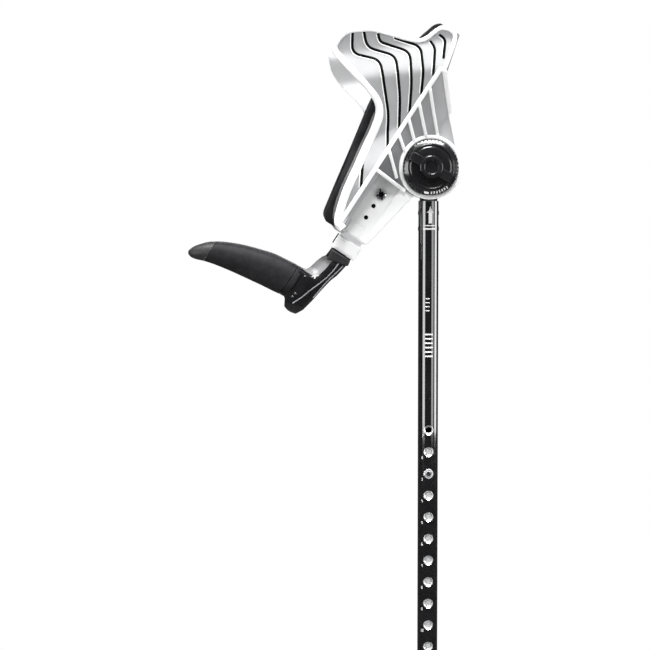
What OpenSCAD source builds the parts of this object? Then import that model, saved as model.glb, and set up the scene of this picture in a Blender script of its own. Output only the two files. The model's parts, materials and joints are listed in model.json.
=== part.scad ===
// Forearm crutch with a tilting platform cuff, a sliding hand grip and a telescopic leg.
// Origin: centre of the ferrule's ground face. +Z runs up the shaft, the hand grip points
// towards -X, and the pivot of the cuff lies along Y with its knob on the -Y side.

/* [Shaft] */
// Height of the cuff pivot above the ground
pivot_h = 835; // [800:1:900]
// Outer diameter of the upper tube
tube_d = 23; // [22:0.5:25]
// Wall thickness of the upper tube
tube_wall = 2; // [1.6:0.1:2.4]
// Height of the upper tube's lower end
tube_bottom_z = 195; // [180:1:205]
// Number of height holes
hole_count = 13; // [8:1:13]
// Distance from one height hole to the next
hole_pitch = 25; // [20:0.5:26]
// Distance of the first height hole below the pivot
first_hole_drop = 300; // [290:1:320]
// Diameter of a height hole
hole_d = 7; // [6.6:0.1:7.4]
// Diameter of the countersink round a height hole
countersink_d = 11; // [9:0.1:12]

/* [Leg] */
// Outer diameter of the leg tube
leg_d = 18.4; // [17.8:0.1:18.4]
// Wall thickness of the leg tube
leg_wall = 1.6; // [1.2:0.1:2]
// Length of the leg tube
leg_len = 508; // [490:1:520]
// Height hole that holds the snap button, counted from the top
button_hole = 3; // [2:1:5]
// Height of the rubber ferrule
ferrule_h = 52; // [45:1:60]
// Diameter of the ferrule's ground face
ferrule_d = 50; // [42:1:56]

/* [Cuff] */
// Lean of the handle stem from the shaft, at rest
lean = 33; // [30:1:36]
// Half the width of the trough at the elbow end, outside
trough_half = 46; // [42:1:50]
// Half the width of the trough at the wrist end, outside
wrist_half = 38; // [34:1:42]
// Wall thickness of the trough
trough_wall = 3.5; // [3:0.1:4.5]
// Distance of the trough's back from the pivot
back_u = 44; // [44:1:46]
// Thickness of the forearm pad over the trough's back
pad_t = 9; // [6:0.5:11]
// Extra reach of the pad's edge beyond its drawn rim
pad_proud = 0; // [-4:0.5:3]

/* [Hub] */
// Outer radius of the hub ring on a cheek
ring_r = 36.4; // [35:0.1:38]
// Radius of the shaft head between the cheeks
head_r = 24; // [20:0.5:25]
// Half the thickness of the shaft head
head_half = 7; // [6:0.1:7]
// Thickness of a friction disc
disc_t = 1.5; // [1:0.1:1.5]
// Diameter of the clamp bolt
bolt_d = 8; // [7:0.5:9]
// Radius of the knob's skirt
knob_r = 30.8; // [28:0.1:31]
// Height of the knob
knob_h = 20; // [16:0.5:22]

/* [Handle] */
// Distance of the stem's centre line from the pivot
stem_u = 29.5; // [29:0.1:30]
// Distance between the handle bolt's holes
bolt_pitch = 15.5; // [14:0.5:16]
// Distance of the grip's root below the pivot, along the stem
grip_w = 193.5; // [190:0.5:197]
// Bend of the grip's centre line
grip_bend = 0.0023; // [0.0019:0.0001:0.0025]

/* [Hidden] */

$fn = 64;
cut = 1;                                   // how far a cutting tool runs past a face
gap = 0.3;                                 // clearance between parts that move past each other
fit = 0.05;                                // radial clearance of a running fit
tube_r = tube_d / 2;
tube_bore_r = tube_r - tube_wall;
leg_r = leg_d / 2;
leg_bore_r = leg_r - leg_wall;
leg_bottom_z = 12;
leg_top_z = leg_bottom_z + leg_len;
first_hole_z = pivot_h - first_hole_drop;
button_z = first_hole_z - (button_hole - 1) * hole_pitch;
button_r = hole_d / 2 - gap;
tube_top_z = pivot_h - ring_r - 1.4;       // clears the hub ring
plug_r = tube_bore_r - 0.02;
plug_len = 42;
rivet_drops = [14, 32];                    // head rivets, below the tube's top
rivet_r = 2.4;
rivet_proud = 0.3;

bolt_r = bolt_d / 2;
cheek_y = head_half + disc_t + gap;        // inner face of a cheek
hub_y = 20;                                // outer face of a cheek's hub
ring_y = 23;                               // face of the hub ring
ring_in_r = 32;
knob_y = ring_y - 1;                       // back of the knob's skirt
knob_face_y = knob_y + knob_h;
bush_r = bolt_r + 1.6;
bolt_head_y = hub_y - 6;                   // seat of the bolt's head in the far cheek

// Rim of the near wall as [distance forward of the pivot, height along the stem]
near_rim = [
    [-117, 50], [-114, 57], [-109, 61.5], [-100, 66], [-80, 71], [-60, 76], [-40, 79.5],
    [-20, 82.5], [0, 85], [16, 87], [22, 90], [27, 97], [32, 112], [37, 131], [42, 150], [46, 163], [52, 168.5], [60, 169.5], [70, 168],
    [80, 162], [88, 151], [94, 138], [100, 121], [106, 102], [112, 89], [120, 84], [130, 81],
    [137, 77], [140, 70]
];
// Rim of the far wall: its wing starts lower down and has a rounder tip
far_rim = [
    [-117, 50], [-114, 57], [-109, 61.5], [-100, 66], [-80, 71], [-60, 76], [-40, 79.5],
    [-20, 82.5], [0, 85], [8, 88], [12, 92], [18, 100], [22, 114], [26, 131], [32, 148], [40, 158], [50, 166], [60, 169], [70, 168],
    [80, 162], [88, 151], [94, 138], [100, 121], [106, 102], [112, 89], [120, 84], [130, 81],
    [137, 77], [140, 70]
];
flare = 9;                                 // how far a wing's tip leans outwards
flare_from = 95;
wall_steps = 7;
corner_steps = 5;
corner_r = 9;

stem_half = 13;                            // half the width of the stem in its socket
stem_thick = 7;                            // half its thickness
shoulder_half = 15.3;
shoulder_top = -120;
shoulder_end = -136;
tenon_end = -165;
tenon_left_u = -40;
tenon_right_u = -25;
stem_top = -22;
socket_end = -114;
handle_bolt_w = -56;
handle_bolt_r = 3;
arm_half = 15;
arm_left_u = -60;
arm_screw_ws = [-146, -158];
arm_screw_r = 2.2;
cheek_screw_at = [[-36, 62], [-36, 22], [-6, -62]];
cheek_screw_r = 2.2;
core_r = 7;
core_end_u = -108;
grip_screw_r = 2.6;
grip_end_u = -158;
tip_end_u = -178;

// ---------------------------------------------------------------- helpers

// The cuff's own frame: pivot at the origin, stem along Z
module at_cuff() {
    translate([0, 0, pivot_h]) rotate([0, lean, 0]) children();
}

// A flat outline in the X-Z plane, thickened from y0 to y1
module slab(y0, y1) {
    translate([0, y1, 0]) rotate([90, 0, 0]) linear_extrude(height = y1 - y0) children();
}

// A round bar along Y from y0 to y1
module bar_y(r, y0, y1, x = 0, z = 0) {
    translate([x, y1, z]) rotate([90, 0, 0]) cylinder(r = r, h = y1 - y0);
}

// A round bar along X from x0 to x1
module bar_x(r, x0, x1, y = 0, z = 0) {
    translate([x0, y, z]) rotate([0, 90, 0]) cylinder(r = r, h = x1 - x0);
}

// A block from one corner to the other
module block(low, high) {
    translate(low) cube(high - low);
}

module tube(r_out, r_in, z0, z1) {
    translate([0, 0, z0]) difference() {
        cylinder(r = r_out, h = z1 - z0);
        translate([0, 0, -cut]) cylinder(r = r_in, h = z1 - z0 + 2 * cut);
    }
}

// Triangles across a ring that runs out along one path and back along another
function strip_cap(n, first) = [
    for (j = [0:n / 2 - 2]) for (upper = [0, 1])
        let (a = first + j, d = first + n - 1 - j)
            upper ? [a, d - 1, d] : [a, a + 1, d - 1]
];
function flipped(faces) = [for (f = faces) [f[2], f[1], f[0]]];

// A solid skinned over closed rings of points, all of the same length
module skin(rings, hollow = false) {
    n = len(rings[0]);
    count = len(rings);
    points = [for (ring = rings) for (p = ring) p];
    sides = [
        for (i = [0:count - 2]) for (j = [0:n - 1]) for (upper = [0, 1])
            let (a = i * n + j, b = i * n + (j + 1) % n)
                upper ? [a, b + n, a + n] : [a, b, b + n]
    ];
    last = (count - 1) * n;
    first_cap = hollow ? flipped(strip_cap(n, 0)) : [[for (j = [n - 1:-1:0]) j]];
    last_cap = hollow ? strip_cap(n, last) : [[for (j = [0:n - 1]) last + j]];
    polyhedron(points = points, faces = concat(sides, first_cap, last_cap), convexity = 8);
}

// ---------------------------------------------------------------- trough and pad shape

function mix(a, b, t) = a + (b - a) * t;
function smooth(t) = t <= 0 ? 0 : t >= 1 ? 1 : t * t * (3 - 2 * t);
// Half the trough's width at height w
function half_at(w) = mix(wrist_half, trough_half, smooth((w + 117) / 130));
// Position of the trough's back at height w: it leans forward at the elbow end
function back_at(w) = -back_u - 0.25 * max(0, w - 100);
// Outward lean of a wing at distance u
function flare_at(u) = flare * pow(max(0, -u - flare_from) / 75, 1.6);

// One wall from its rim to the start of the corner, as [u, y]
function wall_points(u_rim, u_end, half, inset) = [
    for (i = [0:wall_steps])
        let (u = mix(u_rim, u_end, i / wall_steps)) [u, half - inset + flare_at(u)]
];
// The rounded corner between a wall and the back
function corner_points(u_back, half, r) = [
    for (i = [0:corner_steps])
        let (a = 90 * i / corner_steps) [u_back - r + r * sin(a), half - r + r * cos(a)]
];
// Half of a channel's surface, rim to back
function half_channel(u_rim, u_back, half, r, inset) = concat(
    wall_points(u_rim, u_back - r - 0.5, half, inset),
    corner_points(u_back, half - inset, r)
);
function reversed(list) = [for (i = [len(list) - 1:-1:0]) list[i]];
function mirrored(list) = [for (p = list) [p[0], -p[1]]];
// Corner radius that still fits between a rim and the back
function fitted(r, u_rim, u_back) = max(0.4, min(r, u_back - u_rim - 1));
// A channel's surface from its near rim to its far rim
function channel(near_u, far_u, u_back, half, r, inset) = concat(
    mirrored(half_channel(near_u, u_back, half, fitted(r, near_u, u_back), inset)),
    reversed(half_channel(far_u, u_back, half, fitted(r, far_u, u_back), inset))
);
// A closed ring at height w, out along one channel surface and back along another
function closed_ring(w, outer, inner) = [for (p = concat(outer, reversed(inner))) [p[0], p[1], w]];

trough_ws = [
    -117, -114, -109, -100, -80, -60, -40, -20, 0, 12, 18, 22, 27, 32, 37, 42, 46, 52, 60, 70, 80,
    88, 94, 100, 106, 112, 120, 130, 137, 140
];
function trough_ring(w) = let (near = -lookup(w, near_rim), far = -lookup(w, far_rim)) closed_ring(
    w,
    channel(near, far, back_at(w), half_at(w), corner_r, 0),
    channel(near, far, back_at(w) - trough_wall, half_at(w), corner_r - trough_wall, trough_wall)
);

// The pad lines the trough and stands proud of its rim below and above the wings
pad_rim = [
    [-118, 52], [-116, 64], [-111, 73], [-60, 82.3], [0, 93.3], [28, 98.4], [60, 99], [95, 97],
    [110, 93], [120, 90], [130, 87.5], [137, 85], [140, 80], [142, 72]
];
pad_ws = [-118, -116, -112, -100, -80, -60, -40, -20, 0, 10, 20, 40, 60, 80, 100, 115, 130, 138, 142];
pad_side_t = 6;
pad_edge_t = 3;                            // thickness of the pad's two ends
function pad_t_at(w) = mix(pad_edge_t, pad_t, smooth((w + 118) / 12) * smooth((143 - w) / 14));
function pad_reach(w) = lookup(w, pad_rim) + pad_proud;
function pad_ring(w) = let (edge = -pad_reach(w), back = back_at(w) - trough_wall - gap) closed_ring(
    w,
    channel(edge, edge, back, half_at(w), corner_r - trough_wall, trough_wall + gap),
    channel(edge, edge, back - pad_t_at(w), half_at(w), corner_r, trough_wall + gap + pad_side_t)
);

// ---------------------------------------------------------------- shaft

module outer_tube() color("#1c1c1e") difference() {
    tube(tube_r, tube_bore_r, tube_bottom_z, tube_top_z);
    for (i = [0:hole_count - 1]) {
        z = first_hole_z - i * hole_pitch;
        bar_y(hole_d / 2, -tube_r - cut, -tube_bore_r + 4, 0, z);
        translate([0, -tube_r - 0.6, z]) rotate([-90, 0, 0])
            cylinder(r1 = countersink_d / 2 + 0.6, r2 = hole_d / 2, h = 2);
    }
    for (drop = rivet_drops) bar_x(rivet_r, -tube_r - cut, tube_r + cut, 0, tube_top_z - drop);
}

module shaft_head() color("#2b2b2d") difference() {
    union() {
        bar_y(head_r, -head_half, head_half, 0, pivot_h);
        block([-tube_bore_r, -head_half, tube_top_z], [tube_bore_r, head_half, pivot_h]);
        translate([0, 0, tube_top_z - plug_len]) cylinder(r = plug_r, h = plug_len + 1);
    }
    bar_y(bush_r, -head_half - cut, head_half + cut, 0, pivot_h);
    for (drop = rivet_drops) bar_x(rivet_r, -tube_r - cut, tube_r + cut, 0, tube_top_z - drop);
}

module head_rivets() color("#9a9a9c") for (drop = rivet_drops) {
    bar_x(rivet_r, -tube_r - rivet_proud, tube_r + rivet_proud, 0, tube_top_z - drop);
}

module pivot_bush() color("#b8b8ba") difference() {
    bar_y(bush_r, -head_half, head_half, 0, pivot_h);
    bar_y(bolt_r + fit, -head_half - cut, head_half + cut, 0, pivot_h);
}

module friction_disc(y0) color("#4a4a4c") difference() {
    bar_y(head_r, y0, y0 + disc_t, 0, pivot_h);
    bar_y(bolt_r + gap, y0 - cut, y0 + disc_t + cut, 0, pivot_h);
}
module friction_disc_near() friction_disc(-head_half - disc_t);
module friction_disc_far() friction_disc(head_half);

collar_bore_r = leg_r + fit + 0.02;
collar_r = tube_r + 1.8;
module tube_collar() color("#202022") translate([0, 0, tube_bottom_z])
    rotate_extrude() polygon([
        [collar_bore_r, -16], [tube_r, -16], [collar_r, -13],
        [collar_r, 14], [tube_r + 0.6, 17], [tube_r, 17], [tube_r, 0], [collar_bore_r, 0]
    ]);

// ---------------------------------------------------------------- cuff

module cuff_trough() color("#ececee") at_cuff() skin([for (w = trough_ws) trough_ring(w)], hollow = true);

module forearm_pad() color("#2c2c2e") at_cuff() skin([for (w = pad_ws) pad_ring(w)], hollow = true);

// Outline of a cheek from the trough's back to the hub, with its upper edge tangent to the hub
web_r = ring_r - 0.5;
web_top = [-back_u, 95];
web_t = 3.2;                               // thickness of the web
knob_wall_h = 16;                          // depth of the wall that joins the web to the hub
tangent_a = atan2(web_top[1], web_top[0]) - acos(web_r / norm(web_top));
module cheek_outline() {
    circle(r = web_r);
    polygon([web_top, web_r * [cos(tangent_a), sin(tangent_a)], [0, 0], [-14, -38], [-back_u, -38]]);
}

// Section across a cheek: a plate that leans from the trough's wall in to the hub
module cheek_section(lift, plate) {
    polygon([
        [-back_u, -38 - lift], [-14, -hub_y - lift], [45, -hub_y - lift],
        [45, -hub_y + plate], [-14, -hub_y + plate], [-back_u, -38 + plate]
    ]);
}
module cheek_plate(lift, plate) {
    intersection() {
        translate([0, 0, -130]) linear_extrude(height = 260) cheek_section(lift, plate);
        slab(-60, -cheek_y) children();
    }
}

// A straight rib in the cheek's plane
module rib(a, b, width) {
    d = b - a;
    length = norm(d);
    translate(a) rotate(atan2(d[1], d[0])) translate([0, -width / 2]) square([length, width]);
}

fan_feet = [[-12, 34], [-23, 26], [-31, 14], [-35, -1], [-26, -31]];
module fan_ribs() {
    for (i = [0:len(fan_feet) - 1]) rib([-back_u, 74 - 20.5 * i], fan_feet[i], 2.4);
    rib([-back_u, 95], [0, 51.5], 3);
    rib([-back_u, -36], [-14, -37], 3.4);
    rib([-back_u + 1.8, 96], [-back_u + 1.8, -40], 3.6);
}

// One cheek, drawn for the -Y side
module cheek(ring_face) {
    difference() {
        union() {
            cheek_plate(0, web_t) cheek_outline();
            cheek_plate(0, knob_wall_h) circle(r = web_r);
            cheek_plate(1.8, 1) intersection() {
                cheek_outline();
                fan_ribs();
            }
            bar_y(ring_r, -hub_y, -cheek_y);
            bar_y(ring_r, -ring_face, -hub_y + cut);
            // stem housing below the hub
            slab(-15, -cheek_y) polygon([[-back_u, -33], [-back_u, -112], [-14, -112], [2, -33]]);
            slab(-19, -15) polygon([[-13, -36], [3, -33], [-13, -112], [-17, -112]]);
            slab(-30, -15) polygon([[-back_u, -36], [-back_u + 3, -36], [-back_u + 3, -112], [-back_u, -112]]);
            for (at = [cheek_screw_at[0], cheek_screw_at[1]]) bar_y(5, -31, -cheek_y, at[0], at[1]);
            bar_y(5, -15, -cheek_y, cheek_screw_at[2][0], cheek_screw_at[2][1]);
        }
        bar_y(ring_in_r, -60, -hub_y);
        bar_y(bolt_r + fit, -40, 0);
        for (i = [0:2]) bar_y(handle_bolt_r + fit, -40, 0, -stem_u, handle_bolt_w - i * bolt_pitch);
        for (at = cheek_screw_at) bar_y(cheek_screw_r, -13, 0, at[0], at[1]);
    }
}

module cheek_near() color("#f0f0f2") at_cuff() difference() {
    cheek(ring_y);
    bar_y(6.4, -40, -13.5, -stem_u, handle_bolt_w);
}

module cheek_far() color("#f0f0f2") at_cuff() difference() {
    mirror([0, 1, 0]) cheek(hub_y + 1);
    bar_y(9, bolt_head_y, 60);
    bar_y(5.8, 12.4, 40, -stem_u, handle_bolt_w);
    for (at = cheek_screw_at) {
        bar_y(cheek_screw_r, 0, 60, at[0], at[1]);
        bar_y(4.2, 13, 60, at[0], at[1]);
    }
}

module cheek_screws() color("#8c8c8e") at_cuff() for (at = cheek_screw_at) {
    bar_y(cheek_screw_r - 0.02, -12.8, 13.2, at[0], at[1]);
    difference() {
        bar_y(4, 13, 15.6, at[0], at[1]);
        bar_y(1.6, 14, 17, at[0], at[1]);
    }
}

// Sleeve between the cheeks that guides the stem
module stem_socket() color("#e2e2e4") at_cuff() difference() {
    block([-back_u + 0.1, -cheek_y, socket_end], [-13.5, cheek_y, -44]);
    block([-stem_u - stem_half - fit, -stem_thick - fit, socket_end - cut],
        [-stem_u + stem_half + fit, stem_thick + fit, 0]);
    for (i = [0:2]) bar_y(handle_bolt_r + fit, -20, 20, -stem_u, handle_bolt_w - i * bolt_pitch);
}

module clamp_bolt() color("#a8a8aa") at_cuff() {
    bar_y(bolt_r, -knob_y - 12, bolt_head_y + 0.5);
    bar_y(8.6, bolt_head_y, bolt_head_y + 4);
}

module bolt_cap() color("#202022") at_cuff() difference() {
    union() {
        bar_y(8.95, bolt_head_y + 4, hub_y + 1);
        translate([0, hub_y + 1, 0]) rotate([-90, 0, 0]) cylinder(r1 = 13, r2 = 11.5, h = 3);
    }
    bar_y(5, hub_y - 1, hub_y + 2.4);
}

module knob_washer() color("#c4c4c6") at_cuff() difference() {
    bar_y(11, -hub_y - 1.6, -hub_y);
    bar_y(bolt_r + 0.02, -hub_y - 3, -hub_y + cut);
}

module handle_bolt() color("#c8c8ca") at_cuff() difference() {
    union() {
        bar_y(handle_bolt_r, -14, 13.6, -stem_u, handle_bolt_w);
        bar_y(6.2, -16.4, -13.5, -stem_u, handle_bolt_w);
    }
    translate([-stem_u, -14.6, handle_bolt_w]) rotate([90, 0, 0]) cylinder(r = 3.2, h = 4, $fn = 6);
}

module handle_nut() color("#a8a8aa") at_cuff() difference() {
    translate([-stem_u, 16.2, handle_bolt_w]) rotate([90, 0, 0]) cylinder(r = 5.7, h = 3.7, $fn = 6);
    bar_y(handle_bolt_r, 10, 20, -stem_u, handle_bolt_w);
}

// ---------------------------------------------------------------- knob

knob_back = 1.4;                           // clearance behind the knob's skirt
dish_y = knob_y + 14.6;                    // floor of the dish in the knob's face
dish_r = 26.6;
insert_r = 9;
cap_r = 13.1;
bar_width = 10.6;
mark_count = 7;                            // raised marks on the skirt

module knob_body() color("#161618") at_cuff() difference() {
    union() {
        rotate([90, 0, 0]) rotate_extrude() polygon([
            [insert_r - 1, knob_y + knob_back], [knob_r - 1.4, knob_y + knob_back],
            [knob_r, knob_y + 3], [knob_r, knob_y + 9], [knob_r - 1.2, knob_y + 13],
            [knob_r - 3.4, knob_y + 15.4], [dish_r, knob_y + 16], [dish_r, dish_y],
            [insert_r - 1, dish_y]
        ]);
        for (i = [0:mark_count - 1]) rotate([0, 48 + 7 * i, 0])
            translate([knob_r - 0.6, -knob_y - 12, 0]) cube([1.4, 9, 1.6], center = true);
    }
    bar_y(insert_r, -60, -knob_y);
}

module knob_insert() color("#b08d3c") at_cuff() difference() {
    bar_y(insert_r, -knob_y - 12, -knob_y - knob_back);
    bar_y(bolt_r + fit, -60, 0);
}

// Two halves of the turning bar, on either side of the cap
module knob_bar() color("#1a1a1c") at_cuff() rotate([0, -3, 0]) difference() {
    slab(-knob_face_y + 1, -dish_y) intersection() {
        circle(r = dish_r - 0.1);
        square([2 * knob_r, bar_width], center = true);
    }
    bar_y(cap_r + 0.1, -60, 0);
}

module knob_cap() color("#0f0f11") at_cuff() difference() {
    union() {
        bar_y(cap_r, -knob_face_y, -dish_y);
        bar_y(insert_r - 0.1, -dish_y - 0.4, -knob_y - 12.2);
    }
    bar_y(7.5, -knob_face_y - cut, -knob_face_y + 2.2);
}

// ---------------------------------------------------------------- handle

module handle_stem() color("#f4f4f6") at_cuff() difference() {
    union() {
        block([-stem_u - stem_half, -stem_thick, shoulder_top], [-stem_u + stem_half, stem_thick, stem_top]);
        block([-stem_u - shoulder_half, -9.5, shoulder_end], [-stem_u + shoulder_half, 9.5, shoulder_top]);
        block([tenon_left_u, -6, tenon_end], [tenon_right_u, 6, shoulder_end]);
    }
    // forked upper end, so the stem slides past its bolt
    bar_y(handle_bolt_r + gap, -20, 20, -stem_u, handle_bolt_w);
    block([-stem_u - handle_bolt_r - gap, -20, handle_bolt_w], [-stem_u + handle_bolt_r + gap, 20, stem_top + cut]);
    for (w = arm_screw_ws) bar_y(arm_screw_r, -20, 20, -stem_u, w);
}

module arm_outline() {
    offset(r = 5, $fn = 24) offset(delta = -5) polygon([
        [-43.5, -130], [-16.5, -130], [-17.5, -146], [-21, -161], [-26.5, -184], [-29, -202],
        [-36.5, -223], [-52, -223.5], [arm_left_u, -214], [arm_left_u, -175], [-51, -171],
        [-48, -156], [-43.5, -148]
    ]);
}

module handle_arm() color("#18181a") at_cuff() difference() {
    intersection() {
        slab(-arm_half, arm_half) arm_outline();
        block([-100, -20, -240], [0, 20, shoulder_end]);
    }
    block([tenon_left_u, -6, tenon_end - 0.5], [tenon_right_u, 6, 0]);
    for (w = arm_screw_ws) {
        bar_y(arm_screw_r, -12, 20, -stem_u, w);
        bar_y(4.2, 12.5, 20, -stem_u, w);
    }
    bar_x(core_r, -70, -46, 0, -grip_w);
    bar_x(grip_screw_r, -60, 0, 0, -grip_w);
    bar_x(5, -37, 0, 0, -grip_w);
}

module stem_screws() color("#8c8c8e") at_cuff() for (w = arm_screw_ws) {
    bar_y(arm_screw_r - 0.02, -11.8, 13, -stem_u, w);
    bar_y(4, 12.6, 14.6, -stem_u, w);
}

// Centre line and size of the grip at distance u
function grip_centre(u) = -grip_w - grip_bend * pow(-u - 55, 2);
grip_sizes = [
    [60, 20, 17.5], [64, 20, 17.5], [66, 19.2, 16], [72, 19.6, 15.8], [90, 19.8, 16],
    [108, 18.8, 16], [130, 17, 15.2], [148, 14.8, 14], [158, 13.4, 12.6], [165, 12, 11],
    [170, 9.8, 9], [175, 6.3, 5.6], [178, 1.6, 1.5]
];
grip_heights = [for (s = grip_sizes) [s[0], s[1]]];
grip_widths = [for (s = grip_sizes) [s[0], s[2]]];
grip_sides = 32;
function grip_ring(u) = [
    for (i = [0:grip_sides - 1])
        let (a = 360 * i / grip_sides)
            [u, lookup(-u, grip_widths) * cos(a), grip_centre(u) + lookup(-u, grip_heights) * sin(a)]
];

module grip_core() color("#9c9c9e") at_cuff() difference() {
    bar_x(core_r, core_end_u, -46, 0, -grip_w);
    bar_x(grip_screw_r, -78, 0, 0, -grip_w);
}

module grip_sleeve() color("#2a2a2c") at_cuff() difference() {
    skin([for (u = [-60, -64, -66, -72, -81, -90, -99, -108, -119, -130, -139, -148, grip_end_u]) grip_ring(u)]);
    bar_x(core_r, core_end_u, -50, 0, -grip_w);
}

module grip_tip() color("#141416") at_cuff()
    skin([for (u = [grip_end_u, -162, -165, -170, -173, -175, -176.7, tip_end_u]) grip_ring(u)]);

module grip_screw() color("#8c8c8e") at_cuff() {
    bar_x(grip_screw_r - 0.02, -78, -37, 0, -grip_w);
    bar_x(4.8, -37, -33, 0, -grip_w);
}

// ---------------------------------------------------------------- leg

module inner_tube() color("#c9cacc") difference() {
    tube(leg_r, leg_bore_r, leg_bottom_z, leg_top_z);
    bar_y(hole_d / 2, -leg_r - cut, 0, 0, button_z);
}

module tube_glide() color("#3a3a3c") {
    translate([0, 0, leg_top_z]) cylinder(r = tube_bore_r - fit, h = 6);
    translate([0, 0, leg_top_z - 16]) cylinder(r = leg_bore_r - 0.02, h = 16);
}

spring_y = leg_bore_r - 1.4;               // outer face of a spring leaf
module snap_spring() color("#b4b4b6") translate([-4, 0, button_z]) rotate([90, 0, 90])
    linear_extrude(height = 8) difference() {
        union() {
            translate([-spring_y, -46]) square([2 * spring_y, 52]);
            translate([0, -46]) circle(r = spring_y);
        }
        translate([-spring_y + 0.8, -46]) square([2 * (spring_y - 0.8), 60]);
        translate([0, -46]) circle(r = spring_y - 0.8);
    }

module snap_button() color("#1a1a1c") translate([0, -spring_y, button_z]) rotate([90, 0, 0]) {
    cylinder(r = button_r, h = tube_r - spring_y);
    translate([0, 0, tube_r - spring_y]) cylinder(r1 = button_r, r2 = button_r - 0.9, h = 1.2);
}

foot_r = ferrule_d / 2;
module ferrule() color("#1e1e20") difference() {
    rotate_extrude() polygon([
        [0, 0], [foot_r - 1.5, 0], [foot_r, 1.5], [foot_r, 7], [foot_r - 2, 10], [foot_r - 5.5, 13],
        [leg_r + 6.5, 22], [leg_r + 5, 40], [leg_r + 5.6, 41], [leg_r + 5.6, ferrule_h - 2],
        [leg_r + 4, ferrule_h], [0, ferrule_h]
    ]);
    translate([0, 0, leg_bottom_z - 2]) cylinder(r = leg_r, h = ferrule_h);
    for (r = [8, 13, 18]) tube(r + 2, r, -cut, 1.6);
}

module ferrule_washer() color("#a8a8aa")
    translate([0, 0, leg_bottom_z - 2]) cylinder(r = leg_r - 0.1, h = 2);

// ---------------------------------------------------------------- parts

outer_tube();
shaft_head();
head_rivets();
pivot_bush();
friction_disc_near();
friction_disc_far();
tube_collar();
cuff_trough();
cheek_near();
cheek_far();
cheek_screws();
stem_socket();
clamp_bolt();
bolt_cap();
knob_washer();
forearm_pad();
handle_bolt();
handle_nut();
knob_body();
knob_insert();
knob_bar();
knob_cap();
handle_stem();
handle_arm();
stem_screws();
grip_core();
grip_sleeve();
grip_tip();
grip_screw();
inner_tube();
tube_glide();
snap_spring();
ferrule();
ferrule_washer();
snap_button();
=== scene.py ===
"""The looks of the forearm crutch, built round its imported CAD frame.

Sizes here are in millimetres, and MM turns them into Blender's metres. "Cuff space" is (u, y, w), measured
from the pivot: u runs from the trough to its back, y to the far side, and w up along the handle's stem."""

import json
import math

import bmesh
import bpy
from mathutils import Matrix, Vector

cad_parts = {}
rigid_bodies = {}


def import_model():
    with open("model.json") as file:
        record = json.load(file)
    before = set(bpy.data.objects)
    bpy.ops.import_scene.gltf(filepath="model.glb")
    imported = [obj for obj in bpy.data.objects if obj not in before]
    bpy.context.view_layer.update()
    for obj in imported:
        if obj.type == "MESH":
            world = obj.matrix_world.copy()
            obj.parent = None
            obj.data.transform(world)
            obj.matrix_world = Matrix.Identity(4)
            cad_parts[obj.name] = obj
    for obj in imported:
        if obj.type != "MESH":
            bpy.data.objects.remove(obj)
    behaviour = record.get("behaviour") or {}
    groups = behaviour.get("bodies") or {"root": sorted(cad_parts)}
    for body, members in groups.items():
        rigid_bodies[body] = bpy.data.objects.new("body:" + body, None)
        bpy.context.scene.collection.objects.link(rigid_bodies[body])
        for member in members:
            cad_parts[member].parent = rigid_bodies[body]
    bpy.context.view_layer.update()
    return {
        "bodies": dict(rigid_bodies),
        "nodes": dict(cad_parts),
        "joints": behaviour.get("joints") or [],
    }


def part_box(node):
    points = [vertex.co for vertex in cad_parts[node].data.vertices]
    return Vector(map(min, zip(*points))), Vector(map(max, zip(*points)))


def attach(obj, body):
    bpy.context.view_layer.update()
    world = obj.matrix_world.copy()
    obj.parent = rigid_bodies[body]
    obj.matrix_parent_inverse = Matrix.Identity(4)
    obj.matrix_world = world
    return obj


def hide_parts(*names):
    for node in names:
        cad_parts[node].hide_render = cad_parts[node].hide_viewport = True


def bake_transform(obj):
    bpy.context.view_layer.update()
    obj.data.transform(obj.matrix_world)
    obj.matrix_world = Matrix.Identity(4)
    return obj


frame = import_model()

MM = 0.001
JOINTS = {j["name"]: j for j in frame["joints"]}
PIVOT = Vector(JOINTS["cuff_tilt"]["pos_m"])
PIVOT_Z = PIVOT.z / MM
STEM_DOWN = Vector(JOINTS["handle_slide"]["axis"])
LEAN = math.atan2(-STEM_DOWN.x, -STEM_DOWN.z)
CUFF = Matrix.Translation(PIVOT) @ Matrix.Rotation(LEAN, 4, "Y")
NEAR, FAR = -1, 1
SIDES = {NEAR: "near", FAR: "far"}


def cuff(u, y, w):
    """A point of cuff space, in the frame."""
    return CUFF @ Vector((u * MM, y * MM, w * MM))


def cuff_dir(u, y, w):
    return (CUFF.to_3x3() @ Vector((u, y, w))).normalized()


def spoke(degrees):
    """The direction across the pivot at an angle from the back."""
    a = math.radians(degrees)
    return cuff_dir(math.cos(a), 0, math.sin(a))


OUT = {side: cuff_dir(0, side, 0) for side in SIDES}
AXIS = OUT[NEAR]
UP = cuff_dir(0, 0, 1)

# ---------------- small maths


def mix(a, b, t):
    return a + (b - a) * t


def clamp(t):
    return min(1.0, max(0.0, t))


def smoothstep(t):
    t = clamp(t)
    return t * t * (3 - 2 * t)


def steps(a, b, n):
    """The ends and the points between n even steps from a to b."""
    return [mix(a, b, k / n) for k in range(n + 1)]


def straight_at(table, x):
    """Straight interpolation through (x, value) pairs."""
    if x <= table[0][0]:
        return table[0][1]
    for (x0, y0), (x1, y1) in zip(table, table[1:]):
        if x < x1:
            return mix(y0, y1, (x - x0) / (x1 - x0))
    return table[-1][1]


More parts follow.
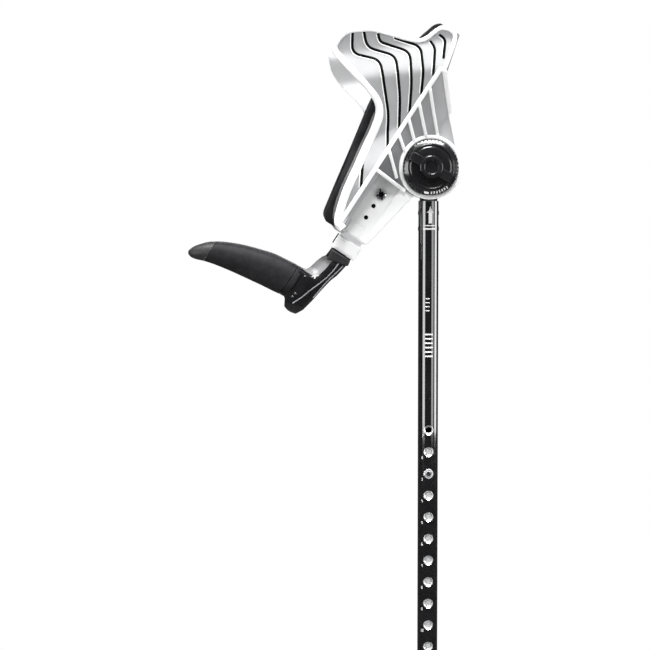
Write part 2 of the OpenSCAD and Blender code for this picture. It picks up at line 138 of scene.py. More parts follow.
def curve_at(table, x):
    """Smooth monotone interpolation through (x, value) pairs."""
    if x <= table[0][0]:
        return table[0][1]
    if x >= table[-1][0]:
        return table[-1][1]
    i = next(k for k in range(len(table) - 1) if x < table[k + 1][0])
    (x0, y0), (x1, y1) = table[i], table[i + 1]
    h = x1 - x0
    slope = (y1 - y0) / h

    def tangent(k):
        if k <= 0 or k >= len(table) - 1:
            return slope
        before = (table[k][1] - table[k - 1][1]) / (table[k][0] - table[k - 1][0])
        after = (table[k + 1][1] - table[k][1]) / (table[k + 1][0] - table[k][0])
        return 0.0 if before * after <= 0 else 2 * before * after / (before + after)

    t = (x - x0) / h
    m0, m1 = tangent(i) * h, tangent(i + 1) * h
    value = (2 * t**3 - 3 * t**2 + 1) * y0 + (t**3 - 2 * t**2 + t) * m0
    return value + (3 * t**2 - 2 * t**3) * y1 + (t**3 - t**2) * m1


def filleted(points, radius):
    """A polyline of 2D points with each inner corner rounded."""
    points = [Vector(p) for p in points]
    out = [points[0]]
    for before, at, after in zip(points, points[1:], points[2:]):
        a, b = before - at, after - at
        r = min(radius, a.length * 0.48, b.length * 0.48)
        start, end = at + a.normalized() * r, at + b.normalized() * r
        out += [(1 - t) ** 2 * start + 2 * t * (1 - t) * at + t**2 * end for t in steps(0, 1, 6)]
    return [*out, points[-1]]


def dense(points, step):
    """The same polyline with points at most step apart."""
    out = [points[0]]
    for a, b in zip(points, points[1:]):
        n = max(1, math.ceil((b - a).length / step))
        out += [a.lerp(b, k / n) for k in range(1, n + 1)]
    return out


def heading(path, i):
    """Direction of a polyline at its point i."""
    return (path[min(i + 1, len(path) - 1)] - path[max(i - 1, 0)]).normalized()


def shifted(path, offsets):
    """A 2D path moved to its right, by one offset for each point."""
    out = []
    for i, (p, offset) in enumerate(zip(path, offsets)):
        t = heading(path, i)
        out.append(p + Vector((t.y, -t.x)) * offset)
    return out


def ribbon(path, width):
    """Outline of a band of even width along a 2D path, with pointed ends."""
    half = width / 2
    left, right = shifted(path, [-half] * len(path)), shifted(path, [half] * len(path))
    start, end = path[0] - heading(path, 0) * half, path[-1] + heading(path, len(path) - 1) * half
    return [start, *left, end, *right[::-1]]


def rounded_rect(width, height, radius, n):
    """Profile (across, up) of a rounded rectangle, with n steps to a corner."""
    out = []
    for cx, cy, start in ((1, 1, 0), (-1, 1, 90), (-1, -1, 180), (1, -1, 270)):
        for k in range(n + 1):
            a = math.radians(start + 90 * k / n)
            across = cx * (width / 2 - radius) + radius * math.cos(a)
            out.append((across, cy * (height / 2 - radius) + radius * math.sin(a)))
    return out


def heights(low, high, step, fine=(0, 0, 0)):
    """Heights from low to high, a step apart. fine is (a smaller step, where it starts, where it ends)."""
    out = [low]
    while out[-1] < high - 1e-6:
        inside = fine[1] <= out[-1] < fine[2]
        out.append(min(high, out[-1] + (fine[0] if inside else step)))
    return out


# ---------------- mesh makers, which give (verts, faces)


def skin(rings, closed=False):
    """A surface over rings of the same length. Open ends get caps."""
    n, count = len(rings[0]), len(rings)
    verts = [p for ring in rings for p in ring]
    faces = []
    for i in range(count if closed else count - 1):
        a, b = i * n, (i + 1) % count * n
        faces += [(a + j, a + (j + 1) % n, b + (j + 1) % n, b + j) for j in range(n)]
    if not closed:
        faces += [tuple(range(n - 1, -1, -1)), tuple(range((count - 1) * n, count * n))]
    return verts, faces


def hollow_skin(rings):
    """Like skin(), for rings that run out along one path and back along another."""
    verts, faces = skin(rings)
    faces = faces[:-2]
    n = len(rings[0])
    for base, turn in ((0, 1), ((len(rings) - 1) * n, -1)):
        for j in range(n // 2 - 1):
            face = (base + j, base + j + 1, base + n - 2 - j, base + n - 1 - j)
            faces.append(face[::turn])
    return verts, faces


def sweep(path, up, rectangle, widths=None):
    """A rounded rectangle carried along a path of world points. up is one direction for the whole path or one
    for each point, and widths, one for each point, scale the rectangle across."""
    ups = [up] * len(path) if isinstance(up, Vector) else up
    rings = []
    for i, p in enumerate(path):
        tangent = heading(path, i)
        normal = (ups[i] - tangent * ups[i].dot(tangent)).normalized()
        across = tangent.cross(normal)
        wide = widths[i] if widths else 1.0
        section = rounded_rect(*rectangle)
        rings.append([p + across * (a * wide * MM) + normal * (b * MM) for a, b in section])
    return skin(rings)


def lathe(profile, centre, axis, segments, side=None):
    """A turned solid. profile is closed, as (radius, distance along the axis)."""
    axis = Vector(axis).normalized()
    side = Vector(side) if side else axis.orthogonal().normalized()
    other = axis.cross(side)
    rings = []
    for k in range(segments):
        a = 2 * math.pi * k / segments
        out = side * math.cos(a) + other * math.sin(a)
        rings.append([Vector(centre) + out * (r * MM) + axis * (d * MM) for r, d in profile])
    return skin(rings, closed=True)


def disc(radius, low, high):
    """Profile of a solid disc for lathe(), with a pinhole in place of a point on the axis."""
    return [(0.001, low), (radius, low), (radius, high), (0.001, high)]


def prism(outline, y0, y1):
    """An outline of (u, w) thickened from y0 to y1."""
    return skin([[cuff(u, y, w) for u, w in outline] for y in (y0, y1)])


def joined(parts):
    """Several shapes as one."""
    verts, faces = [], []
    for v, f in parts:
        base = len(verts)
        verts += list(v)
        faces += [tuple(base + i for i in face) for face in f]
    return verts, faces


# ---------------- objects


def add_object(name, data):
    obj = bpy.data.objects.new(name, data)
    bpy.context.scene.collection.objects.link(obj)
    return obj


def soften(mesh, sharp):
    """Smooth shading, with creases where faces meet at more than so many degrees."""
    mesh.polygons.foreach_set("use_smooth", [True] * len(mesh.polygons))
    mesh.set_sharp_from_angle(angle=math.radians(sharp))


def coat(mesh, material, sharp):
    """Gives a mesh one material and its shading."""
    mesh.materials.clear()
    mesh.materials.append(material)
    soften(mesh, sharp)


def piece(name, shape, finish, replaces=(), sharp=35):
    """A finished object. finish is its material, the body it rides on, or None for none yet, and its slot,
    which is not used here.
    """
    material, body, slot = finish
    mesh = bpy.data.meshes.new(name)
    mesh.from_pydata([tuple(v) for v in shape[0]], [], shape[1])
    mesh.validate()
    bm = bmesh.new()
    bm.from_mesh(mesh)
    bmesh.ops.recalc_face_normals(bm, faces=bm.faces)
    bm.to_mesh(mesh)
    bm.free()
    obj = add_object(name, mesh)
    coat(mesh, material, sharp)
    if body:
        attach(obj, body)
    if replaces:
        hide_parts(*replaces)
    return obj


def bevelled(obj, width, segments=3, angle=30):
    weld = obj.modifiers.new("weld", "WELD")
    weld.merge_threshold = 0.02 * MM
    edges = obj.modifiers.new("edges", "BEVEL")
    edges.width = width * MM
    edges.segments = segments
    edges.limit_method = "ANGLE"
    edges.angle_limit = math.radians(angle)


def apply_modifiers(obj):
    graph = bpy.context.evaluated_depsgraph_get()
    mesh = bpy.data.meshes.new_from_object(obj.evaluated_get(graph))
    old = obj.data
    obj.modifiers.clear()
    obj.data = mesh
    bpy.data.meshes.remove(old)


def cut_out(obj, shapes, overlapping=False):
    """Cuts closed shapes out of an object. overlapping allows for shapes that meet each other."""
    tool = piece("tool", joined(shapes), SHELL)
    cut = obj.modifiers.new("cut", "BOOLEAN")
    cut.object = tool
    cut.solver = "EXACT"
    cut.use_self = overlapping
    apply_modifiers(obj)
    bpy.data.objects.remove(tool)


# ---------------- materials

SOCKETS = {
    "rough": "Roughness", "metal": "Metallic", "coat": "Coat Weight", "coat_rough": "Coat Roughness",
    "sheen": "Sheen Weight", "specular": "Specular IOR Level", "colour": "Base Color", "normal": "Normal",
    "glow": "Emission Strength", "glow_colour": "Emission Color",
}


class Nodes:
    """A node tree, with short calls for what is used here."""

    def __init__(self, tree):
        self.tree = tree

    def plug(self, node, inputs):
        """Gives a node's sockets their numbers, colours or links."""
        for key, value in inputs.items():
            if isinstance(value, bpy.types.NodeSocket):
                self.tree.links.new(value, node.inputs[key])
            else:
                node.inputs[key].default_value = value

    def node(self, kind, inputs=None, **settings):
        made = self.tree.nodes.new(kind)
        for key, value in settings.items():
            setattr(made, key, value)
        self.plug(made, inputs or {})
        return made

    def axes(self, vector):
        """The X, Y and Z of a vector."""
        return self.node("ShaderNodeSeparateXYZ", {"Vector": vector}).outputs

    def ramp(self, value, low, high, a, b):
        """A colour between a and b as value goes from low to high."""
        ramp = self.node("ShaderNodeValToRGB", {"Fac": value})
        for stop, place, colour in zip(ramp.color_ramp.elements, (low, high), (a, b)):
            stop.position = place
            stop.color = (*colour, 1)
        return ramp.outputs["Color"]

    def split_rays(self, kind, others, these, output):
        """Shows one kind of ray the shader these, and every other ray the shader others."""
        ray = self.node("ShaderNodeLightPath").outputs[kind]
        choice = self.node("ShaderNodeMixShader", {"Fac": ray, 1: others.outputs[0], 2: these.outputs[0]})
        self.plug(self.tree.nodes[output], {"Surface": choice.outputs["Shader"]})


class Shader(Nodes):
    """A material on Blender's main shader, textured in object coordinates."""

    def __init__(self, name, **inputs):
        self.material = bpy.data.materials.new(name)
        self.material.use_nodes = True
        super().__init__(self.material.node_tree)
        self.bsdf = self.tree.nodes["Principled BSDF"]
        self.coords = self.node("ShaderNodeTexCoord").outputs["Object"]
        self.feed(**inputs)

    def feed(self, **inputs):
        self.plug(self.bsdf, {SOCKETS[key]: value for key, value in inputs.items()})

    def noise(self, scale, detail=3.0, stretch=None):
        vector = self.coords
        if stretch:
            vector = self.node("ShaderNodeMapping", {"Vector": vector, "Scale": stretch}).outputs["Vector"]
        inputs = {"Vector": vector, "Scale": scale, "Detail": detail}
        return self.node("ShaderNodeTexNoise", inputs).outputs["Fac"]

    def texture(self, spec):
        """Noise for a (scale, detail, stretch), where stretch may be left out, and pores for a bare scale."""
        if isinstance(spec, tuple):
            return self.noise(*spec)
        return self.node("ShaderNodeTexVoronoi", {"Vector": self.coords, "Scale": spec}).outputs["Distance"]

    def spread(self, value, low, high):
        """value, from 0 to 1, mapped on low to high."""
        inputs = {"Value": value, "To Min": low, "To Max": high}
        return self.node("ShaderNodeMapRange", inputs).outputs["Result"]

    def math(self, operation, a, b=0.0):
        return self.node("ShaderNodeMath", {0: a, 1: b}, operation=operation).outputs["Value"]

    def centred_noise(self, scale, size):
        """Noise either side of zero, over a range of the given size."""
        return self.math("MULTIPLY", self.math("SUBTRACT", self.noise(scale), 0.5), size)

    def bump(self, height, strength, distance):
        inputs = {"Height": height, "Strength": strength, "Distance": distance}
        self.feed(normal=self.node("ShaderNodeBump", inputs).outputs["Normal"])


def surface(name, tone, dark, pale, rough, grain=None, span=(0.3, 0.8), **inputs):
    """A material. The texture tone mixes the colours dark and pale as it goes over span. rough is one number,
    or a texture and its two ends. grain is a texture and the strength and depth of its bumps."""
    s = Shader(name, **inputs)
    s.feed(colour=s.ramp(s.texture(tone), *span, dark, pale))
    s.feed(rough=s.spread(s.texture(rough[0]), *rough[1:]) if isinstance(rough, tuple) else rough)
    if grain:
        s.bump(s.texture(grain[0]), *grain[1:])
    return s.material


def metal(name, dark, pale, rough, stretch=(1, 1, 1), scale=900):
    roughness = ((scale * 0.5, 5, stretch), rough - 0.08, rough + 0.1)
    grain = ((scale * 2, 3, stretch), 0.12, 0.00008)
    return surface(name, (scale, 4, stretch), dark, pale, roughness, grain, EVEN, metal=1.0)


def web_painted_shade():
    """Painted shade on the web: a grey that deepens from the cuff's back edge towards its front, where the
    fan narrows.
    """
    s = Shader("web_painted_shade", rough=0.5, specular=0.3)
    # painted shade: the grey darkens towards the cuff's front, with noise over it
    across = s.math("DIVIDE", s.math("ADD", s.axes(s.coords)["X"], 0.065), 0.085)
    shade_and_mottle = s.math("ADD", across, s.centred_noise(40, 0.12))
    s.feed(colour=s.ramp(shade_and_mottle, 0.15, 0.95, (0.13, 0.131, 0.135), (0.42, 0.422, 0.428)))
    s.bump(s.noise(3000, 2), 0.2, 0.00015)
    return s.material


EVEN = (0.3, 0.75)
DRAWN = (1, 1, 0.05)
WHITE = surface("white_plastic", (35, 3), (0.88, 0.883, 0.888), (0.93, 0.932, 0.935), ((260, 3), 0.36, 0.5),
                ((2600, 2), 0.12, 0.00012), EVEN, specular=0.4)
# grey copy of the white shell plastic: painted shade on the trough's outer walls
PANEL_SHADE = surface("panel_painted_shade", (40, 3), (0.34, 0.342, 0.347), (0.38, 0.382, 0.387), 0.55,
                ((3000, 2), 0.2, 0.00015), EVEN, specular=0.3)
# paler grey copy of the white shell plastic: painted shade on the trough's inner faces
INNER_SHADE = surface("inner_painted_shade", (40, 3), (0.47, 0.472, 0.478), (0.52, 0.522, 0.527), 0.5,
                ((2600, 2), 0.15, 0.00012), EVEN, specular=0.25)
FROSTED = surface("frosted_aluminium", (1200, 4, DRAWN), (0.72, 0.725, 0.73), (0.82, 0.82, 0.825),
                  ((500, 5), 0.42, 0.56), ((2500, 3), 0.12, 0.00008), EVEN, metal=0.45, specular=0.5)
# the web's grey paints the shade in the recesses between the fan ribs
WEB_SHADE = web_painted_shade()
# mid grey between the white rim and the dark pad: painted light and shade
LIP_LIGHT_AND_SHADE = surface("lip_light_and_shade_grey", (60, 3), (0.11, 0.11, 0.112), (0.15, 0.15, 0.152), 0.6,
              ((2500, 2), 0.2, 0.0002), specular=0.2)
# lighter grey on the black arm: painted highlights on its ridges and painted reflection in its thumb dishes
ARM_HIGHLIGHT_GREY = surface("arm_painted_highlight_grey", (60, 3), (0.2, 0.2, 0.205), (0.27, 0.27, 0.275), ((300, 4), 0.34, 0.48),
                ((900, 2), 0.05, 0.0001), coat=0.2, coat_rough=0.3, specular=0.5)
GLOSS = surface("gloss_black", (60, 3), (0.006, 0.006, 0.007), (0.014, 0.014, 0.015), ((420, 5), 0.12, 0.26),
                ((900, 2), 0.04, 0.0001), coat=0.6, coat_rough=0.05, specular=0.6)
SATIN = surface("satin_black", (90, 3), (0.014, 0.014, 0.015), (0.03, 0.03, 0.032), ((500, 5), 0.38, 0.55),
                ((2400, 3), 0.25, 0.0001), specular=0.45)
TIP = surface("tip_black", (90, 3), (0.024, 0.024, 0.025), (0.036, 0.036, 0.038), ((200, 3), 0.44, 0.52),
              ((300, 2), 0.02, 0.0001), specular=0.32)
GRIP = surface("grip_rubber", (120, 4), (0.012, 0.012, 0.013), (0.024, 0.024, 0.026), ((300, 4), 0.46, 0.62),
               (1500, 0.3, 0.00015), specular=0.12)
FOAM = surface("pad_foam", (150, 5), (0.01, 0.01, 0.011), (0.021, 0.021, 0.022), ((200, 3), 0.7, 0.9),
               (900, 0.5, 0.0003), sheen=0.02, specular=0.12)
FERRULE = surface("ferrule_rubber", (80, 5), (0.014, 0.014, 0.015), (0.05, 0.049, 0.047),
                  ((150, 3), 0.6, 0.85), ((1400, 4), 0.35, 0.0002), (0.35, 0.8), specular=0.3)
# near black: painted shade in the slits over the dark pad, in the housing's holes and in the bolt's socket,
# and the dark bar by the stem
DARK_AND_SHADE = surface("dark_and_shade_black", (200, 3), (0.003, 0.003, 0.003), (0.008, 0.008, 0.008), ((200, 3), 0.8, 0.95),
               specular=0.1)
PRINT = surface("print_white", (700, 4), (0.62, 0.62, 0.63), (0.85, 0.85, 0.85), ((300, 3), 0.4, 0.6),
                span=(0.3, 0.6), specular=0.3)
ALUMINIUM = metal("drawn_aluminium", (0.78, 0.79, 0.8), (0.93, 0.93, 0.94), 0.25, DRAWN, 1500)
STEEL = metal("bright_steel", (0.62, 0.62, 0.63), (0.8, 0.8, 0.81), 0.25)
ZINC = metal("zinc_steel", (0.45, 0.45, 0.46), (0.62, 0.62, 0.64), 0.38)
DARK_STEEL = metal("dark_steel", (0.02, 0.02, 0.022), (0.06, 0.06, 0.062), 0.4)
BRASS = metal("turned_brass", (0.6, 0.42, 0.16), (0.78, 0.57, 0.25), 0.3)

SHELL = (WHITE, "cuff", "white_shell")
SHADOW = (DARK_AND_SHADE, "cuff", "pad_foam")
KNOB = (GLOSS, "knob", "gloss_black")
ARM = (GLOSS, "handle", "gloss_black")
RUBBER = (GRIP, "handle", "grip_rubber")
TUBE_PRINT = (PRINT, "shaft", "white_shell")

# ---------------- the trough

BACK_U = 44.0
WALL = 3.5
CORNER = 9.0
WALL_STEPS = 22
# Reach of each wall's rim forward of the pivot, against the height w. Both walls end in the same wing.
WING = [
    (70, 168), (80, 162), (88, 151), (94, 138), (100, 121), (106, 102), (112, 89), (120, 84), (130, 81),
    (137, 77), (140, 70),
]
RIMS = {
    NEAR: [
        (-117, 50), (-114, 56), (-109, 59.5), (-100, 63), (-89, 66.5), (-72, 70.5), (-45, 74.2), (-27, 77),
        (-3, 80.5), (12, 84), (18, 87), (22, 90), (27, 97), (32, 112), (37, 131), (42, 150), (46, 163),
        (52, 168.5), (60, 169.5), *WING,
    ],
    FAR: [
        (-117, 50), (-114, 57), (-109, 61.5), (-100, 66), (-80, 71), (-60, 76), (-40, 79.5), (-20, 82.5),
        (0, 85), (8, 88), (12, 92), (18, 100), (22, 114), (26, 131), (32, 148), (40, 158), (50, 166),
        (60, 169), *WING,
    ],
}
# Half the trough's width against the height above the pivot, at rest, with a crease at each point
HALF = [
    (-125, 36), (-80, 36), (-35, 36.5), (-6, 43), (8, 43.5), (39, 35.8), (103, 54.3), (134, 45.8),
    (170, 54.5),
]
# How the creases are softened: shares of the width at heights so many mm off
CREASE = 2.2
SOFTENING = ((0.15, -1.6), (0.2, -0.8), (0.3, 0), (0.2, 0.8), (0.15, 1.6))
# The slits, which run down to the diagonal rib, as points (u, w) and the radius of their corners
SLITS = [
    ([(-158, 79), (-144, 57), (-114, 67.5), (-73, 23), (-54, -8)], 9),
    ([(-147, 85), (-134, 71.5), (-102, 81), (-73, 46), (-54, 16.5)], 9),
    ([(-132, 91), (-125, 84.5), (-91, 93.5), (-69, 63), (-54.5, 38)], 9),
    ([(-114, 97), (-84, 105), (-66, 82), (-55, 62)], 8),
    ([(-78, 116), (-70, 112.5), (-55.5, 86)], 5),
    ([(-73, 127.5), (-65, 126.5), (-56, 108)], 5),
    ([(-69, -36), (-54, -63)], 3),
    ([(-59, -96), (-53.5, -107)], 3),
]
SLIT_W = 3.3
RIM_W = 5.0


def half_at(u, w):
    """Half the trough's width. The creases rise towards the back, more so lower down."""
    across = u * math.cos(LEAN) + w * math.sin(LEAN)
    up = -u * math.sin(LEAN) + w * math.cos(LEAN)
    skew = mix(0.44, 0.133, smoothstep((up - 38) / 70))
    height = up - skew * (across + 50)
    return sum(share * straight_at(HALF, height + off * CREASE) for share, off in SOFTENING)


def back_at(w):
    """The trough's back, which leans away above the wing's foot."""
    return -BACK_U - 0.25 * max(0.0, w - 100)


def channel(w, reaches, back, radius, inset, corner_steps=7, back_steps=10):
    """Points (u, y) of a surface of the trough or pad at height w, from the near rim to the far rim."""
    walls = []
    for side in SIDES:
        reach = reaches[side]
        r = max(0.4, min(radius, reach + back - 1))
        wall = [(u, side * (half_at(u, w) - inset)) for u in steps(-reach, back - r, WALL_STEPS)]
        half = half_at(back - r, w) - inset
        for k in range(1, corner_steps + 1):
            a = math.pi / 2 * k / corner_steps
            wall.append((back - r + r * math.sin(a), side * (half - r + r * math.cos(a))))
        walls.append(wall)
    near, far = walls
    (u0, y0), (u1, y1) = near[-1], far[-1]
    across = list(zip(steps(u0, u1, back_steps), steps(y0, y1, back_steps)))[1:-1]
    return near + across + far[::-1]


def make_trough():
    rings = []
    for w in [-117, -116, -115, -114, -112, *heights(-110, 140, 3.0, (1.25, 14, 56))]:
        reaches = {side: curve_at(RIMS[side], w) for side in SIDES}
        outer = channel(w, reaches, back_at(w), CORNER, 0)
        inner = channel(w, reaches, back_at(w) - WALL, CORNER - WALL, WALL)
        rings.append([cuff(u, y, w) for u, y in outer + inner[::-1]])
    # the shell's grey paints the shade on the walls' outer faces
    shell = piece("trough_shell", hollow_skin(rings), (PANEL_SHADE, "cuff", "white_shell"), ["cuff_trough"], 40)
    slits = []
    for points, radius in SLITS:
        outline = ribbon(dense(filleted(points, radius), 4), SLIT_W)
        slits += [prism(outline, side * 30, side * 62) for side in SIDES]
    cut_out(shell, slits, overlapping=True)
    # the inner faces get a paler grey, which paints their shade
    shell.data.materials.append(INNER_SHADE)
    inverse = CUFF.inverted()
    margin = WALL - 0.4
    for face in shell.data.polygons:
        p = inverse @ face.center / MM
        if abs(p.y) < half_at(p.x, p.z) - margin and p.x < back_at(p.z) - margin:
            face.material_index = 1
    soften(shell.data, 40)


def on_wall(points, side, outward):
    """World points of a path of (u, w) on a wall's outer face, moved outward."""
    return [cuff(u, side * (half_at(u, w) + outward), w) for u, w in points]


def make_inlays():
    """Black strips that fill the slits a little below the surface, standing for the dark pad behind and
    painting the shade inside each slit, and a thin lip along one edge of each.
    """
    strips, lips = [], []
    for points, radius in SLITS:
        path = dense(filleted(points, radius), 3)
        lip = shifted(path, [SLIT_W / 2 + 0.4] * len(path))
        for side, out in OUT.items():
            strips.append(sweep(on_wall(path, side, -1.9), out, (SLIT_W + 0.5, 1.6, 0.3, 2)))
            lips.append(sweep(on_wall(lip, side, 0.0), out, (1.0, 1.3, 0.45, 3)))
    piece("slit_pad_and_shade_inlays", joined(strips), SHADOW)
    piece("slit_lips", joined(lips), SHELL)


def rim_edge(side):
    """A wall's rim as (u, w), from the wrist round the wing to the back of the elbow end."""
    front = [Vector((-curve_at(RIMS[side], w), w)) for w in heights(-112, 139.5, 2.0, (0.8, 14, 54))]
    top = ((-68, 140.4), (-62, 140.6), (-57, 138), (-53.5, 131), (-51, 120), (-48, 106), (-45.5, 95))
    path = [Vector((-47, -116.5)), Vector((-51.5, -115.5)), *front, *(Vector(p) for p in top)]
    path = dense(path, 2.5)
    for _ in range(3):
        path = [path[0], *((a + b * 2 + c) / 4 for a, b, c in zip(path, path[1:], path[2:])), path[-1]]
    return path


def rim_width(p):
    """Width of the rim's bead at (u, w): broad down the waist, narrower over the wing and the elbow end."""
    waist = mix(9.5, 7.4, smoothstep((p.y - 10) / 30))
    return mix(waist, 4.8, smoothstep((p.x + 158) / 22) if p.y > 60 else 0.0)


def make_rims():
    """A white bead on each rim, and a grey lip beyond the bead from the wrist to the waist, whose mid grey
    paints the light and shade between the bead and the dark pad.
    """
    lip_top = {NEAR: 16, FAR: 2}
    for side, name in SIDES.items():
        edge = rim_edge(side)
        bead = shifted(edge, [rim_width(p) / 2 - 0.4 for p in edge])
        widths = [rim_width(p) / RIM_W for p in bead]
        profile = (RIM_W, 5.0, 2.0, 5)
        piece(f"rim_bead_{name}", sweep(on_wall(bead, side, -0.8), OUT[side], profile, widths), SHELL)
        lip = shifted(edge, [-1.5] * len(edge))
        lip = [p for p in lip if p.y < lip_top[side] and p.x < -60]
        widths = [min(1.0, 0.25 + 0.15 * min(i, len(lip) - 1 - i)) for i in range(len(lip))]
        shape = sweep(on_wall(lip, side, -2.6), OUT[side], (3.4, 2.4, 1.0, 4), widths)
        piece(f"rim_lip_{name}", shape, (LIP_LIGHT_AND_SHADE, "cuff", "pad_foam"))


# ---------------- the cheeks and the handle's bolt

FAN_FEET = [(-12, 34), (-23, 26), (-31, 14), (-35, -1), (-26, -31)]
FAN_TOP = 73.0
FAN_PITCH = 20.7
RIB_U = -52.0
HUB_Y = 20.0
CHEEK_Y = 8.8
RING_OUT = 36.4
RING_IN = 31.5
WEB_R = 35.5
WEB_TOP = Vector((-47, 96))
WEB_SIDE = Vector((25.2, 25.0))
WEB_T = 3
# Radius of the hole in the hub's floor, and how far the ring stands above the hub and above the web
HUB_BORE = {NEAR: 4.2, FAR: 9.2}
RING_RISE = {NEAR: (4.2, 2.2), FAR: (2.4, 1.6)}
STEM_U = 29.5
HANDLE_BOLT_W = -56.0
BOLT_PITCH = 15.5
# Centres of the handle's three bolt holes, the bolt's own first
STEM_HOLES = [cuff(-STEM_U, 0, HANDLE_BOLT_W - k * BOLT_PITCH) for k in range(3)]


def web_y(u, w):
    """Distance of a cheek's web from the middle: it leans from the trough's wall in to the hub."""
    return mix(half_at(RIB_U, w) + 0.1, HUB_Y, clamp((u + 48) / 34))


def web_right(w):
    """The web's back edge: a circle round the hub, then a straight line to the top."""
    if w > WEB_SIDE.y:
        return mix(WEB_SIDE.x, WEB_TOP.x, (w - WEB_SIDE.y) / (WEB_TOP.y - WEB_SIDE.y))
    return max(-14.0, math.sqrt(max(0.0, WEB_R**2 - w**2)))


def make_web(side, name):
    rings = []
    for w in heights(-37.5, 96, 3.0):
        us = steps(RIB_U, web_right(w), 26)
        front = [cuff(u, side * web_y(u, w), w) for u in us]
        back = [cuff(u, side * (web_y(u, w) - WEB_T), w) for u in us]
        rings.append(front + back[::-1])
    piece(f"web_panel_{name}", hollow_skin(rings), (WEB_SHADE, "cuff", "white_shell"), [f"cheek_{name}"])


def make_ring(side, name):
    """The hub's floor and the white ring that rises round the knob to meet the web."""
    bore = HUB_BORE[side]
    edge = [(RING_OUT - 0.6, CHEEK_Y), (RING_OUT, CHEEK_Y + 0.6), (RING_OUT, HUB_Y)]
    floor = [(bore, CHEEK_Y), *edge, (bore, HUB_Y)]
    piece(f"hub_floor_{name}", lathe(floor, PIVOT, OUT[side], 96, UP), SHELL)
    above_hub, above_web = RING_RISE[side]
    rings = []
    for k in range(120):
        a = 2 * math.pi * k / 120
        u, w = math.sin(a), math.cos(a)
        top = max(HUB_Y + above_hub, web_y(34 * u, 34 * w) + above_web)
        section = [
            (RING_IN, 16), (RING_IN, top - 1.2), (RING_IN + 0.4, top - 0.4), (RING_IN + 1.4, top),
            (RING_OUT - 1.6, top), (RING_OUT - 0.5, top - 0.5), (RING_OUT, top - 1.6), (RING_OUT, 14),
        ]
        rings.append([cuff(r * u, side * y, r * w) for r, y in section])
    piece(f"hub_ring_{name}", skin(rings, closed=True), SHELL, sharp=50)


def rib(points, side, lift, *rectangle):
    """A rib along points (u, w) that follows the web, and the trough's wall beyond it."""
    path = []
    for p in dense([Vector(p) for p in points], 2.5):
        y = web_y(p.x, p.y) if p.x > RIB_U else half_at(p.x, p.y)
        path.append(cuff(p.x, side * (y + lift), p.y))
    return sweep(path, OUT[side], rectangle)


def make_ribs(side, name):
    """The diagonal rib, the fan of ribs from it to the hub, and the ribs on the web's edges."""
    parts = [rib([(RIB_U, -113), (RIB_U, 97)], side, 0.4, 5.0, 4.6, 1.8, 5)]
    for i, foot in enumerate(FAN_FEET):
        parts.append(rib([(RIB_U + 0.5, FAN_TOP - FAN_PITCH * i), foot], side, 0.6, 3.7, 4.4, 1.5, 4))
    parts.append(rib([(RIB_U, 97), WEB_TOP, WEB_SIDE], side, 0.3, 5.6, 4.6, 1.8, 5))
    parts.append(rib([(RIB_U, -36.5), (-9, -38)], side, 0.5, 4.0, 4.6, 1.6, 4))
    piece(f"fan_ribs_{name}", joined(parts), SHELL)


def block(name, outline, side, y0, y1):
    """A part of the cheek: an outline of (u, w) between two distances from the middle."""
    return piece(name, prism(outline, side * y0, side * y1), SHELL)


def make_housing(side, name):
    """The stem's housing below the hub, with its three bolt holes and the flange down its edge."""
    outline = [(-50, -34), (-50, -112.5), (-15, -112.5), (-15, -34)]
    face = block(f"stem_housing_{name}", outline, side, CHEEK_Y, 15)
    outline = [(-15.6, -34), (-15.6, -113), (-12.6, -113), (-9.7, -101), (2.4, -38), (2.0, -34)]
    bevelled(block(f"stem_flange_{name}", outline, side, CHEEK_Y, 17.5), 1.6, 4)
    cut_out(face, [lathe(disc(2.5, 11, 18), at, OUT[side], 32) for at in STEM_HOLES])
    bevelled(face, 0.7)
    plugs = [lathe(disc(2.48, 11.05, 12.6), at, OUT[side], 32) for at in STEM_HOLES]
    piece(f"hole_shadows_{name}", joined(plugs), SHADOW)
    block(f"housing_edges_{name}", [(-54, -37), (-47.5, -37), (-47.5, -113), (-54, -113)], side, 12, 35.5)
    outline = [(-42, -98), (-24, -98), (-24, -112), (-42, -112)]
    bevelled(block(f"housing_lip_{name}", outline, side, 14, 15.9), 0.6)


def make_bolt():
    """Round head of the handle's bolt, with a near-black hexagon in its socket and four near-black notches,
    which paint the shade inside them.
    """
    at = STEM_HOLES[0]
    head = [
        (2.9, 13.2), (6.2, 13.2), (6.2, 16.2), (5.7, 17.1), (4.6, 17.6), (3.9, 17.7), (3.5, 17.4),
        (3.5, 15.2), (2.9, 15.2),
    ]
    piece("handle_bolt_head", lathe(head, at, AXIS, 64, UP), (STEEL, "cuff", "bright_steel"), ["handle_bolt"])
    # painted shade: a near-black hexagon down in the socket, and near-black notches
    parts = [lathe(disc(3.52, 8, 16.0), at, AXIS, 6, UP)]
    for k in range(4):
        out = spoke(45 + 90 * k)
        path = [at + out * r * MM + AXIS * y * MM for r, y in ((3.3, 17.35), (4.6, 17.4), (6.25, 16.6))]
        parts.append(sweep(path, AXIS, (1.5, 0.9, 0.3, 2)))
    piece("handle_bolt_socket_shade", joined(parts), (DARK_AND_SHADE, "cuff", "dark_steel"))


make_trough()
make_inlays()
make_rims()
make_bolt()
for cheek_side, cheek_name in SIDES.items():
    make_web(cheek_side, cheek_name)
    make_ring(cheek_side, cheek_name)
    make_ribs(cheek_side, cheek_name)
    make_housing(cheek_side, cheek_name)

# ---------------- forearm pad

PAD_T = 9.0
PAD_SIDE = 6.0
PAD_GAP = 0.3
PAD_SHRINK = 0.9
PAD_SWELL = 0.8
PAD_RIM = [
    (-118, 52), (-116, 64), (-111, 73), (-60, 82.3), (0, 93.3), (28, 98.4), (60, 99), (95, 97),
    (110, 93), (120, 90), (130, 87.5), (137, 85), (140, 80), (142, 72),
]
CHANNEL_PITCH = 43.0
CHANNEL_DEPTH = 1.6


